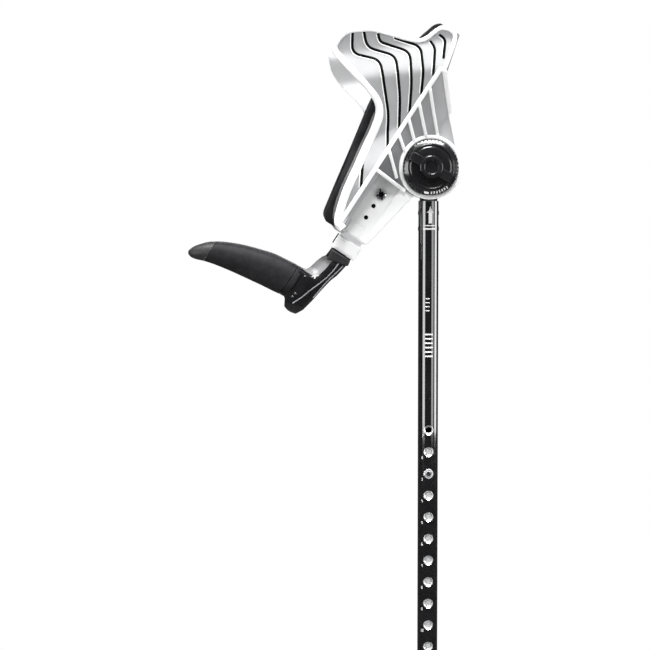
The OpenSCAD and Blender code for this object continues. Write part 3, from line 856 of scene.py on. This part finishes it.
def make_pad():
    """The pad, made smaller by PAD_SHRINK all round before it swells."""
    rings = []
    gap = WALL + PAD_GAP
    for w in heights(-116.5, 140.5, 2.6):
        edge = straight_at(PAD_RIM, w)
        end = smoothstep((w + 117.5) / 10) * smoothstep((142.5 - w) / 10)
        thick = mix(3.5, PAD_T, end)
        out_u = back_at(w) - WALL - PAD_GAP - PAD_SHRINK
        reaches = {side: edge - PAD_SHRINK for side in SIDES}
        outer = channel(w, reaches, out_u, CORNER - WALL, gap + PAD_SHRINK, 5, 26)
        in_u = out_u - thick + 2 * PAD_SHRINK
        inner = channel(w, reaches, in_u, CORNER, gap + PAD_SIDE - PAD_SHRINK, 5, 26)
        rings.append([cuff(u, y, w) for u, y in outer + inner[::-1]])
    pad = piece("forearm_cushion", hollow_skin(rings), (FOAM, "cuff", "pad_foam"), ["forearm_pad"], 180)
    puff(pad)
    smooth = pad.modifiers.new("smooth", "SMOOTH")
    smooth.factor = 0.6
    smooth.iterations = 10
    apply_modifiers(pad)
    carve_channels(pad)
    soften(pad.data, 180)


def puff(obj):
    """Swells the pad by cloth pressure, then holds each point near its start, closest at the front edges."""
    inverse = CUFF.inverted()
    rest = [v.co.copy() for v in obj.data.vertices]
    settings = obj.modifiers.new("cloth", "CLOTH").settings
    settings.quality = 4
    settings.mass = 0.3
    settings.tension_stiffness = 40
    settings.compression_stiffness = 40
    settings.use_pressure = True
    settings.uniform_pressure_force = 4
    settings.effector_weights.gravity = 0
    scene = bpy.context.scene
    for number in range(1, 13):
        scene.frame_set(number)
    apply_modifiers(obj)
    scene.frame_set(1)
    for v, start in zip(obj.data.vertices, rest):
        move = v.co - start
        p = inverse @ start / MM
        from_edge = p.x + straight_at(PAD_RIM, p.z)
        most = PAD_SWELL * mix(0.12, 1.0, smoothstep((from_edge - 5) / 16)) * MM
        if move.length > most:
            v.co = start + move * (most / move.length)


def carve_channels(obj):
    """Presses shallow cross channels into the pad's inner face, where it bends round the arm."""
    inverse = CUFF.inverted()
    for v in obj.data.vertices:
        p = inverse @ v.co / MM
        if abs(p.y) > 30 or p.x > back_at(p.z) - WALL - 4 or p.x < -64:
            continue
        off = (p.z + 117) % CHANNEL_PITCH - CHANNEL_PITCH / 2
        depth = CHANNEL_DEPTH * math.exp(-(off**2) / 5.0) * smoothstep((30 - abs(p.y)) / 4)
        v.co += CUFF.to_3x3() @ Vector((depth * MM, 0, 0))


make_pad()

# ---------------- clamp knob

KNOB_R = 30.8
SERRATIONS = 44
# Profiles as (radius, distance towards the viewer's side)
SKIRT = [
    (9.2, 23.6), (29.8, 23.6), (30.6, 24.2), (KNOB_R, 25), (KNOB_R, 30.4), (30.6, 31.2), (26.5, 34.0),
    (25.9, 34.3), (25.0, 34.4), (24.5, 34.1), (24.1, 33.5), (23.5, 33.3), (22.6, 33.8), (20.5, 34.2),
    (14.4, 34.3), (9.2, 34.3),
]
HUB_CAP = [
    (0.01, 33.6), (8.8, 33.6), (8.8, 36), (13.1, 36), (13.1, 40.6), (12.7, 41.5), (11.9, 41.95), (8.6, 42),
    (7.9, 41.7), (7.6, 41), (7.5, 39.9), (7.1, 39.4), (4, 39.2), (0.01, 39.15),
]
# The bar's sections, from the cap outwards: distance from the middle, half the width, top
BAR_FOOT = 35.8
BAR_SECTIONS = [(12.6, 5.3, 41), (22, 5.3, 41), (25.5, 4.9, 40.2), (27, 4.4, 38.8), (27.2, 4.2, 36.2)]
BAR_TURN = math.radians(-3)
LEAN_DEGREES = math.degrees(LEAN)
MARK_PITCH = 6.2


def make_bar():
    """The turning bar: one half on each side of the cap, with chamfered top edges."""
    along, across = math.cos(BAR_TURN), math.sin(BAR_TURN)
    halves = []
    for way in (-1, 1):
        rings = []
        for d, half, top in BAR_SECTIONS:
            left = [(-half, BAR_FOOT), (-half, top - 1), (-half + 1, top)]
            section = left + [(-a, b) for a, b in left[::-1]]
            ring = []
            for a, b in section:
                ring.append(cuff(way * d * along + a * across, -b, a * along - way * d * across))
            rings.append(ring)
        halves.append(skin(rings))
    bevelled(piece("knob_grip_bar", joined(halves), KNOB, ["knob_bar"], 30), 0.5)


def make_knob():
    piece("knob_skirt", lathe(SKIRT, PIVOT, AXIS, 128, UP), KNOB, ["knob_body"], 32)
    piece("knob_hub_cap", lathe(HUB_CAP, PIVOT, AXIS, 128, UP), KNOB, ["knob_cap"], 32)
    make_bar()
    # fine serrations on the skirt, and the white marks of the clamp scale beside them
    serrations, marks = [], []
    for k in range(SERRATIONS):
        out = spoke(k * 360 / SERRATIONS)
        path = [PIVOT + out * (KNOB_R - 0.2) * MM + AXIS * d * MM for d in (26, 29, 32.2)]
        serrations.append(sweep(path, out, (1.5, 1.2, 0.5, 2)))
    for k in range(7):
        out = spoke(LEAN_DEGREES - 89 + MARK_PITCH * k)
        path = [PIVOT + out * r * MM + AXIS * (31.35 + 0.683 * (30.6 - r)) * MM for r in (27.6, 30.3)]
        marks.append(sweep(path, AXIS, (1.5, 0.7, 0.3, 2)))
    arc = [PIVOT + (spoke(LEAN_DEGREES - 95 - 1.3 * k) * 29 + AXIS * 32.5) * MM for k in range(9)]
    marks.append(sweep(arc, AXIS, (2.8, 0.7, 0.3, 2)))
    piece("knob_serrations", joined(serrations), KNOB)
    piece("knob_marks", joined(marks), (PRINT, "knob", "white_shell"))


make_knob()

# ---------------- handle

# The grip's centre line, half height and half width, against the distance forward of the pivot
GRIP_CENTRE = [
    (60, -193.6), (74, -195.2), (92, -197.3), (111, -201.2), (130, -205.8), (147, -211.3), (158, -216),
    (165, -220), (170, -223.3), (175, -226.3), (178, -228.5),
]
GRIP_HEIGHT = [
    (60, 19.4), (74, 19.8), (92, 19.8), (111, 18.6), (130, 16.9), (147, 14.8), (158, 13.2), (165, 11.8),
    (170, 9.6), (174, 6.9), (176.5, 4), (178, 0.5),
]
GRIP_WIDTH = [
    (60, 16.5), (66, 15.6), (74, 15.7), (90, 16), (108, 16), (130, 15.2), (148, 14), (158, 12.6),
    (165, 11), (170, 9), (174, 6.5), (176.5, 3.8), (178, 0.5),
]
GRIP_SIDES = 64
GRIP_POWER = 0.92
# The arm's right and left edges u against the height w, seen from the viewer's side
ARM_RIGHT = [
    (-224, -42), (-222.6, -36.6), (-214, -32.1), (-199.4, -29), (-184, -26.8), (-169, -24), (-161, -21),
    (-148, -18.6), (-138, -17.6),
]
ARM_LEFT = [
    (-224, -47), (-223, -51.5), (-215, -56), (-212.5, -59.5), (-178, -60), (-175, -58), (-172.5, -52.5),
    (-166.5, -50.6), (-157, -48.4), (-151, -46), (-148, -43.3), (-138, -42.5),
]
# Edge of the thumb dish on the arm's face, and how far the dish cuts back at the arm's edge
DISH_EDGE = [(-176, -39.4), (-166, -36), (-158, -34.4), (-150, -34.1)]
DISH_DEPTH = [(-178, 0), (-174, 5), (-166, 8.5), (-156, 8.5), (-151, 5.5), (-147.5, 0)]
DISH_STEPS = 10
DISH_START = 4
ARM_HALF = 13.0
# Raised lines on the arm's faces, in a grey that paints their highlights on the black arm: a width, and
# points (u, w)
ARM_LINES = [
    (1.3, [(-27.2, -148), (-27.6, -158), (-29.7, -169), (-33.5, -180), (-37, -189), (-40.6, -201),
           (-46.4, -214)]),
    (1.1, [(-21.4, -147.5), (-23.4, -157), (-27.2, -172), (-28.8, -185), (-30, -196)]),
]
BOSSES = [(-50.5, -208), (-49.5, -203.5), (-51, -181)]
BOSS = [(0.001, 0), (2.0, 0), (1.9, 0.9), (1.3, 1.6), (0.5, 1.95), (0.001, 2)]


def grip_ring(reach, grow=0.0):
    """A section of the grip at distance reach forward of the pivot, a little fuller than an ellipse."""
    centre = curve_at(GRIP_CENTRE, reach)
    height, width = curve_at(GRIP_HEIGHT, reach) + grow, curve_at(GRIP_WIDTH, reach) + grow
    ring = []
    for k in range(GRIP_SIDES):
        a = 2 * math.pi * k / GRIP_SIDES
        c, s = math.cos(a), math.sin(a)
        y = width * math.copysign(abs(c) ** GRIP_POWER, c)
        ring.append(cuff(-reach, y, centre + height * math.copysign(abs(s) ** GRIP_POWER, s)))
    return ring


def make_grip():
    sleeve = [grip_ring(64, -1.2), *(grip_ring(r) for r in steps(64.5, 157, 60)), grip_ring(157.3, -0.5)]
    piece("grip_rubber_sleeve", skin(sleeve), RUBBER, ["grip_sleeve"], 50)
    tip = [grip_ring(157.4, -0.5), *(grip_ring(r) for r in steps(157.6, 177.9, 28))]
    piece("grip_end", skin(tip), (TIP, "handle", "gloss_black"), ["grip_tip"], 60)
    root = [grip_ring(r, grow) for r, grow in ((56.5, -1.5), (57, -0.3), (58, 0), (63.6, 0), (63.9, -1))]
    piece("grip_root_ring", skin(root), RUBBER)


def arm_section(w):
    """Outline of the arm at height w, as (u, y), anticlockwise from its right edge."""
    right, left = straight_at(ARM_RIGHT, w), straight_at(ARM_LEFT, w)
    depth = curve_at(DISH_DEPTH, w)
    edge = max(left + 1.0, min(curve_at(DISH_EDGE, w), right - 3)) if depth > 0.05 else left + 3
    half = ARM_HALF * math.sqrt(max(0.05, 1 - max(0.0, (-214 - w) / 11) ** 2))
    side = [(right, 0), (right, half * 0.6), (right - 1.2, half - 1.4), (right - 3, half)]
    for t in steps(0, 1, DISH_STEPS):
        sag = depth * (t + 0.35 * math.sin(math.pi * t))
        side.append((mix(edge, left, t), max(0.6, half - min(sag, depth * 1.05))))
    side += [(left - 0.01, max(0.5, (half - depth) * 0.5))]
    return side + [(u, -y) for u, y in side[:0:-1]]


def make_arm():
    rings = [[cuff(u, y, w) for u, y in arm_section(w)] for w in heights(-224, -136.3, 1.5)]
    piece("arm_body", skin(rings), ARM, ["handle_arm"], 50)
    bosses, ridges, dishes = [], [], []
    for side, out in OUT.items():
        for width, line in ARM_LINES:
            path = [cuff(p.x, side * (ARM_HALF + 0.2), p.y) for p in dense(filleted(line, 8), 2.5)]
            ridges.append(sweep(path, out, (width, 1.8, 0.6, 3)))
        bosses += [lathe(BOSS, cuff(u, side * (ARM_HALF - 0.6), w), out, 24) for u, w in BOSSES]
        dishes.append(thumb_dish_reflection(side))
    piece("arm_bosses", joined(bosses), ARM)
    # the ridges' grey paints highlight lines on the black arm
    piece("arm_highlight_ridges", joined(ridges), (ARM_HIGHLIGHT_GREY, "handle", "gloss_black"))
    # collar that clamps the stem, in flat facets
    collar = [(-42.6, -137.6), (-17.6, -137.6), (-16.6, -144.9), (-29, -148), (-41.4, -151.2)]
    bevelled(piece("arm_collar", prism(collar, -14.2, 14.2), (SATIN, "handle", "gloss_black")), 1.5, 2)
    # the dishes' grey paints their reflection
    piece("thumb_dish_reflection", joined(dishes), (ARM_HIGHLIGHT_GREY, "handle", "gloss_black"), sharp=60)
    # dark bar down the left edge of the stem
    path = [cuff(-45.0, 0, w) for w in (-118.8, -125, -131.2)]
    slot = sweep(path, cuff_dir(-1, 0, 0), (9, 1.4, 0.5, 3))
    piece("stem_dark_bar", slot, (DARK_AND_SHADE, "handle", "dark_steel"))


def thumb_dish_reflection(side):
    """Satin skin of one thumb dish, just proud of the arm, in a grey that paints the dish's reflection on the
    black arm.
    """
    rings = []
    for w in heights(-175.4, -148.4, 1.5):
        trim = arm_section(w)[DISH_START + 1 : DISH_START + 1 + DISH_STEPS]
        outer = [(u, y + 0.25) for u, y in trim]
        inner = [(u, y - 0.6) for u, y in trim]
        rings.append([cuff(u, side * y, w) for u, y in outer + inner[::-1]])
    return hollow_skin(rings)


make_grip()
make_arm()

# ---------------- shaft tube and its prints

TUBE_R = 11.5
BORE_R = 9.5
TUBE_CHAMFER = (0.5, 0.6)
PITCH = 25.0
HOLE_R = 3.5
SINK_R = 5.5
HOLES = 13
BUTTON_HOLE = 3
FACE_R = 2.8
LEAF = 0.8
VIEWER = (0, -1, 0)
tube_low, tube_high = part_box("outer_tube")
button_low, button_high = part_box("snap_button")
BUTTON_Z = (button_low[2] + button_high[2]) / 2 / MM
TOP_HOLE_Z = BUTTON_Z + (BUTTON_HOLE - 1) * PITCH


def tube_lacquer():
    """Gloss black lacquer, with bare metal where the height holes are countersunk through it."""
    s = Shader("tube_lacquer", coat=1.0, coat_rough=0.03, specular=1.0)
    x, y, z = s.axes(s.coords)
    pitch = PITCH * MM
    lowest = TOP_HOLE_Z * MM - (HOLES - 0.5) * pitch
    # height above the nearest hole's centre
    dz = s.math("SUBTRACT", s.math("MODULO", s.math("SUBTRACT", z, lowest), pitch), pitch / 2)
    off = s.math("SQRT", s.math("ADD", s.math("MULTIPLY", x, x), s.math("MULTIPLY", dz, dz)))
    near = s.math("LESS_THAN", off, s.math("ADD", SINK_R * MM, s.centred_noise(900, 0.0004)))
    above, below = s.math("GREATER_THAN", z, lowest), s.math("LESS_THAN", z, lowest + HOLES * pitch)
    bare = s.math("MULTIPLY", near, s.math("LESS_THAN", y, 0.0))
    bare = s.math("MULTIPLY", bare, s.math("MULTIPLY", above, below))
    lacquer = s.ramp(s.noise(50), 0.3, 0.8, (0.004, 0.004, 0.0045), (0.01, 0.01, 0.011))
    inputs = {"Factor": bare, "A": lacquer, "B": (0.9, 0.9, 0.91, 1)}
    s.feed(colour=s.node("ShaderNodeMix", inputs, data_type="RGBA").outputs["Result"], metal=bare)
    s.feed(rough=s.math("ADD", s.math("MULTIPLY", bare, 0.3), s.spread(s.noise(300, 4), 0.05, 0.1)))
    s.bump(s.noise(220, 2), 0.03, 0.0002)
    return s.material


def make_tube():
    z0, z1 = tube_low[2] / MM, tube_high[2] / MM
    inset, drop = TUBE_CHAMFER
    profile = [
        (BORE_R, z0 + drop), (BORE_R + inset, z0), (TUBE_R - inset, z0), (TUBE_R, z0 + drop),
        (TUBE_R, z1 - drop), (TUBE_R - inset, z1), (BORE_R + inset, z1), (BORE_R, z1 - drop),
    ]
    finish = (tube_lacquer(), "shaft", "black_lacquer")
    tube = piece("lacquered_tube", lathe(profile, (0, 0, 0), (0, 0, 1), 120), finish, ["outer_tube"])
    mouth, rim = TUBE_R + 1.0, SINK_R + 0.2
    hole = [
        (0.001, 5), (HOLE_R, 5), (HOLE_R, TUBE_R - 1.9), (rim, TUBE_R + 0.1), (rim, mouth), (0.001, mouth),
    ]
    centres = [Vector((0, 0, (TOP_HOLE_Z - k * PITCH) * MM)) for k in range(HOLES)]
    cut_out(tube, [lathe(hole, at, VIEWER, 40) for at in centres])
    round_normals(tube.data)


def round_normals(mesh):
    """True cylinder normals on the tube's inside and outside, and flat ones elsewhere."""
    mesh.polygons.foreach_set("use_smooth", [True] * len(mesh.polygons))
    normals = []
    for poly in mesh.polygons:
        middle, flat = poly.center, poly.normal
        distance = math.hypot(middle.x, middle.y)
        radial = abs(flat.z) < 0.02 and math.hypot(flat.x, flat.y) > 0.99
        turn = flat.x * middle.x + flat.y * middle.y
        aligned = radial and abs(turn) > 0.995 * distance
        onto = aligned and any(abs(distance / MM - r) < 0.05 for r in (TUBE_R, BORE_R))
        for index in poly.loop_indices:
            normal = flat
            if onto:
                co = mesh.vertices[mesh.loops[index].vertex_index].co
                normal = Vector((co.x, co.y, 0)).normalized() * (1 if turn > 0 else -1)
            normals.append(tuple(normal))
    mesh.normals_split_custom_set(normals)


def make_button():
    """The snap button: a bright rim round a dark face."""
    low, high = button_low / MM, button_high / MM
    r, back, front = high.x, -high.y, -low.y
    at = Vector((0, 0, BUTTON_Z * MM))
    head = [
        (0.001, back), (r, back), (r, front - 1.3), (r - 0.2, front - 0.6), (r - 0.35, front - 0.1),
        (FACE_R, front - 0.1), (FACE_R, front - 0.5), (0.001, front - 0.5),
    ]
    piece("button_head", lathe(head, at, VIEWER, 48), (FROSTED, "button", "dark_steel"), ["snap_button"])
    edge = FACE_R - 0.05
    face = [(0.001, front - 0.6), (edge, front - 0.6), (edge, front - 0.4), (0.001, front - 0.35)]
    piece("button_face", lathe(face, at, VIEWER, 48), (SATIN, "button", "dark_steel"))


def make_spring():
    """The bent leaf behind the button, built at rest on no body. On the crutch its near side goes in with the
    button, and the bend gives way.
    """
    low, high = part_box("snap_spring")
    reach = high.y / MM - LEAF / 2
    top, bend = high.z / MM, (low.z + high.y) / MM
    spots = [(-reach, z) for z in steps(top, bend, 13)]
    spots += [(-reach * math.cos(a), bend - reach * math.sin(a)) for a in steps(0, math.pi, 20)[1:-1]]
    spots += [(reach, z) for z in steps(bend, top, 13)]
    path = [Vector((0, y, z)) * MM for y, z in spots]
    ups = [Vector((0, y, min(0.0, z - bend))).normalized() for y, z in spots]
    shape = sweep(path, ups, ((high.x - low.x) / MM, LEAF, 0.25, 2))
    leaf = piece("button_spring", shape, (STEEL, None, "bright_steel"), ["snap_spring"])
    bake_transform(leaf)


def wrapped(x, z, lift=0.06):
    """A point of the tube's front face: x mm round from the middle, z mm up."""
    a = x / TUBE_R
    r = (TUBE_R + lift) * MM
    return Vector((math.sin(a) * r, -math.cos(a) * r, z * MM))


def decal(cells):
    """Thin raised strips on the tube's front, from quads of (x, z), split so that they follow the tube."""
    strips = []
    for (ax, az), (bx, bz), (cx, cz), (dx, dz) in cells:
        n = max(1, math.ceil(max(abs(bx - ax), abs(cx - dx)) / 0.6))
        rings = []
        for t in steps(0, 1, n):
            top, low = (mix(ax, bx, t), mix(az, bz, t)), (mix(dx, cx, t), mix(dz, cz, t))
            rings.append([wrapped(*top), wrapped(*low), wrapped(*low, -0.05), wrapped(*top, -0.05)])
        strips.append(skin(rings))
    return joined(strips)


def bar(x0, x1, z0, z1):
    """A cell for decal()."""
    return [(x0, z1), (x1, z1), (x1, z0), (x0, z0)]


# Seven-stroke digits: top, middle, bottom, upper left, upper right, lower left, lower right
STROKES = {
    "0": "tbuvxy", "1": "vy", "2": "tmbvx", "3": "tmbvy", "4": "umvy", "5": "tmbuy",
    "6": "tmbuxy", "7": "tvy", "8": "tmbuvxy", "9": "tmbuvy",
}
DIGIT_H = 3.2


def digit(sign, x, z):
    width, line, middle, top = DIGIT_H * 0.55, DIGIT_H * 0.16, z + DIGIT_H / 2, z + DIGIT_H
    strokes = {
        "t": bar(x, x + width, top - line, top),
        "m": bar(x, x + width, middle - line / 2, middle + line / 2),
        "b": bar(x, x + width, z, z + line),
        "u": bar(x, x + line, middle, top),
        "v": bar(x + width - line, x + width, middle, top),
        "x": bar(x, x + line, z, middle),
        "y": bar(x + width - line, x + width, z, middle),
    }
    return [strokes[s] for s in STROKES[sign]]


def make_prints():
    """The arrow and setting lines, two plain blocks of bars where a maker would put marks, and numbers."""
    neck = PIVOT_Z - 51.5
    head = [(1.2, PIVOT_Z - 44), (1.21, PIVOT_Z - 44), (5.5, neck), (-3.1, neck)]
    ticks = [bar(-7, 7, PIVOT_Z - d - t, PIVOT_Z - d) for d, t in ((65.6, 1.1), (69.0, 1.8))]
    piece("tube_arrow_print", decal([head, bar(-0.7, 3.1, PIVOT_Z - 63.6, neck + 0.1), *ticks]), TUBE_PRINT)
    upper = [bar(-4.2, 0.6, PIVOT_Z - z, PIVOT_Z - z + 1.1) for z in (150, 154.5, 159, 163.5)]
    lower = [bar(-4.8, 4.4, PIVOT_Z - z, PIVOT_Z - z + 1.6) for z in (191, 196, 201, 206, 211, 216)]
    piece("tube_bar_print", decal(upper + lower), TUBE_PRINT)
    cells = []
    for k in range(HOLES):
        text = str(k + 1)
        left = -8.6 - (1.2 if len(text) > 1 else 0)
        for i, sign in enumerate(text):
            cells += digit(sign, left + 2.4 * i, TOP_HOLE_Z - k * PITCH - 8.2)
    piece("hole_numbers", decal(cells), TUBE_PRINT)


make_tube()
make_button()
make_spring()
make_prints()

# ---------------- CAD parts that stay as they are

# Material, width of the softened edges, and nodes
KEPT = [
    (SATIN, 0.5, "shaft_head tube_collar bolt_cap"), (SATIN, 0.4, "tube_glide"),
    (SATIN, 0.2, "friction_disc_near friction_disc_far"), (DARK_STEEL, 0.2, "head_rivets"),
    (STEEL, 0.2, "pivot_bush knob_washer"), (ZINC, 0.2, "ferrule_washer"),
    (ZINC, 0.3, "cheek_screws clamp_bolt handle_nut stem_screws grip_screw"), (WHITE, 0.4, "stem_socket"),
    (WHITE, 0.8, "handle_stem"), (BRASS, 0.2, "knob_insert"), (ALUMINIUM, 0.4, "grip_core"),
    (FROSTED, 0.2, "inner_tube"), (FERRULE, 0.8, "ferrule"),
]
for kept_material, kept_width, kept_names in KEPT:
    for kept_name in kept_names.split():
        kept = frame["nodes"][kept_name]
        coat(kept.data, kept_material, 30)
        bevelled(kept, kept_width, 2, 35)

# ---------------- stage, light and camera

# The camera's place, in degrees round from the front and up, and in metres
PHOTO_AZIMUTH = -2.2
PHOTO_ELEVATION = 3.5
CAMERA_DISTANCE = 2.5
VIEW_WIDTH = 743.015 * MM
AIM = Vector((-0.1182, 0, 0.6552))
FLOOR_R = 1.2
ROOM_LOW = (0.05, 0.05, 0.05)
ROOM_HIGH = (0.16, 0.16, 0.16)
# Name, place, target, width, height and power
LIGHTS = [
    ("key", (-0.08, -0.55, 2.5), (-0.08, 0, 0.88), 2.2, 0.55, 92),
    ("front_top", (-0.1, -1.6, 2.3), (-0.1, 0, 0.8), 0.6, 0.4, 26),
    ("left_box", (-1.66, -1.15, 0.78), (0, 0, 0.78), 1.0, 0.95, 15),
    ("right_box", (2.0, -0.05, 0.78), (0, 0, 0.78), 1.1, 0.95, 18),
    ("right_fill", (1.45, -1.4, 0.78), (0, 0, 0.78), 0.9, 0.95, 7),
    ("back", (0.3, 2.0, 1.7), (-0.1, 0, 0.75), 1.2, 0.9, 22),
]


def make_stage():
    """A round floor that stays under the foot at every setting of the leg. It is dull in reflections, so that
    the lacquered tube stays black in every view."""
    mesh = bpy.data.meshes.new("floor")
    angles = [2 * math.pi * k / 96 for k in range(96)]
    rim = [(FLOOR_R * math.cos(a), FLOOR_R * math.sin(a), 0) for a in angles]
    mesh.from_pydata(rim, [], [tuple(range(96))])
    floor = add_object("floor", mesh)
    s = Shader("pale_floor", specular=0.1, glow=0.05, glow_colour=(1, 1, 1, 1))
    s.feed(colour=s.ramp(s.noise(3), 0.3, 0.7, (0.52, 0.52, 0.52), (0.58, 0.58, 0.58)))
    s.feed(rough=s.spread(s.noise(20), 0.85, 0.95))
    dull = s.node("ShaderNodeBsdfDiffuse", {"Color": (0.1, 0.1, 0.1, 1)})
    s.split_rays("Is Glossy Ray", s.bsdf, dull, "Material Output")
    mesh.materials.append(s.material)
    floor.parent = frame["bodies"]["leg"]


def make_world():
    """White behind the object, and a dim room that is paler above for every other ray."""
    world = bpy.data.worlds.new("studio")
    world.use_nodes = True
    sky = Nodes(world.node_tree)
    backdrop = sky.tree.nodes["Background"]
    sky.plug(backdrop, {"Color": (1, 1, 1, 1)})
    height = sky.axes(sky.node("ShaderNodeTexCoord").outputs["Generated"])["Z"]
    room = sky.node("ShaderNodeBackground", {"Color": sky.ramp(height, 0.0, 0.85, ROOM_LOW, ROOM_HIGH)})
    sky.split_rays("Is Camera Ray", room, backdrop, "World Output")
    bpy.context.scene.world = world


def make_lights():
    for name, place, target, width, height, power in LIGHTS:
        data = bpy.data.lights.new(name, "AREA")
        data.shape = "RECTANGLE"
        data.size, data.size_y = width, height
        data.energy = power
        light = add_object(name, data)
        light.location = place
        light.rotation_euler = (Vector(target) - Vector(place)).to_track_quat("-Z", "Y").to_euler()


def make_camera():
    a, e = math.radians(PHOTO_AZIMUTH), math.radians(PHOTO_ELEVATION)
    back = Vector((math.sin(a) * math.cos(e), -math.cos(a) * math.cos(e), math.sin(e)))
    data = bpy.data.cameras.new("camera")
    data.sensor_width = 36
    data.lens = data.sensor_width * CAMERA_DISTANCE / VIEW_WIDTH
    data.clip_end = 50
    camera = add_object("camera", data)
    camera.location = AIM + back * CAMERA_DISTANCE
    camera.rotation_euler = (-back).to_track_quat("-Z", "Y").to_euler()
    bpy.context.scene.camera = camera


make_stage()
make_world()
make_lights()
make_camera()
bpy.context.scene.view_settings.view_transform = "Standard"
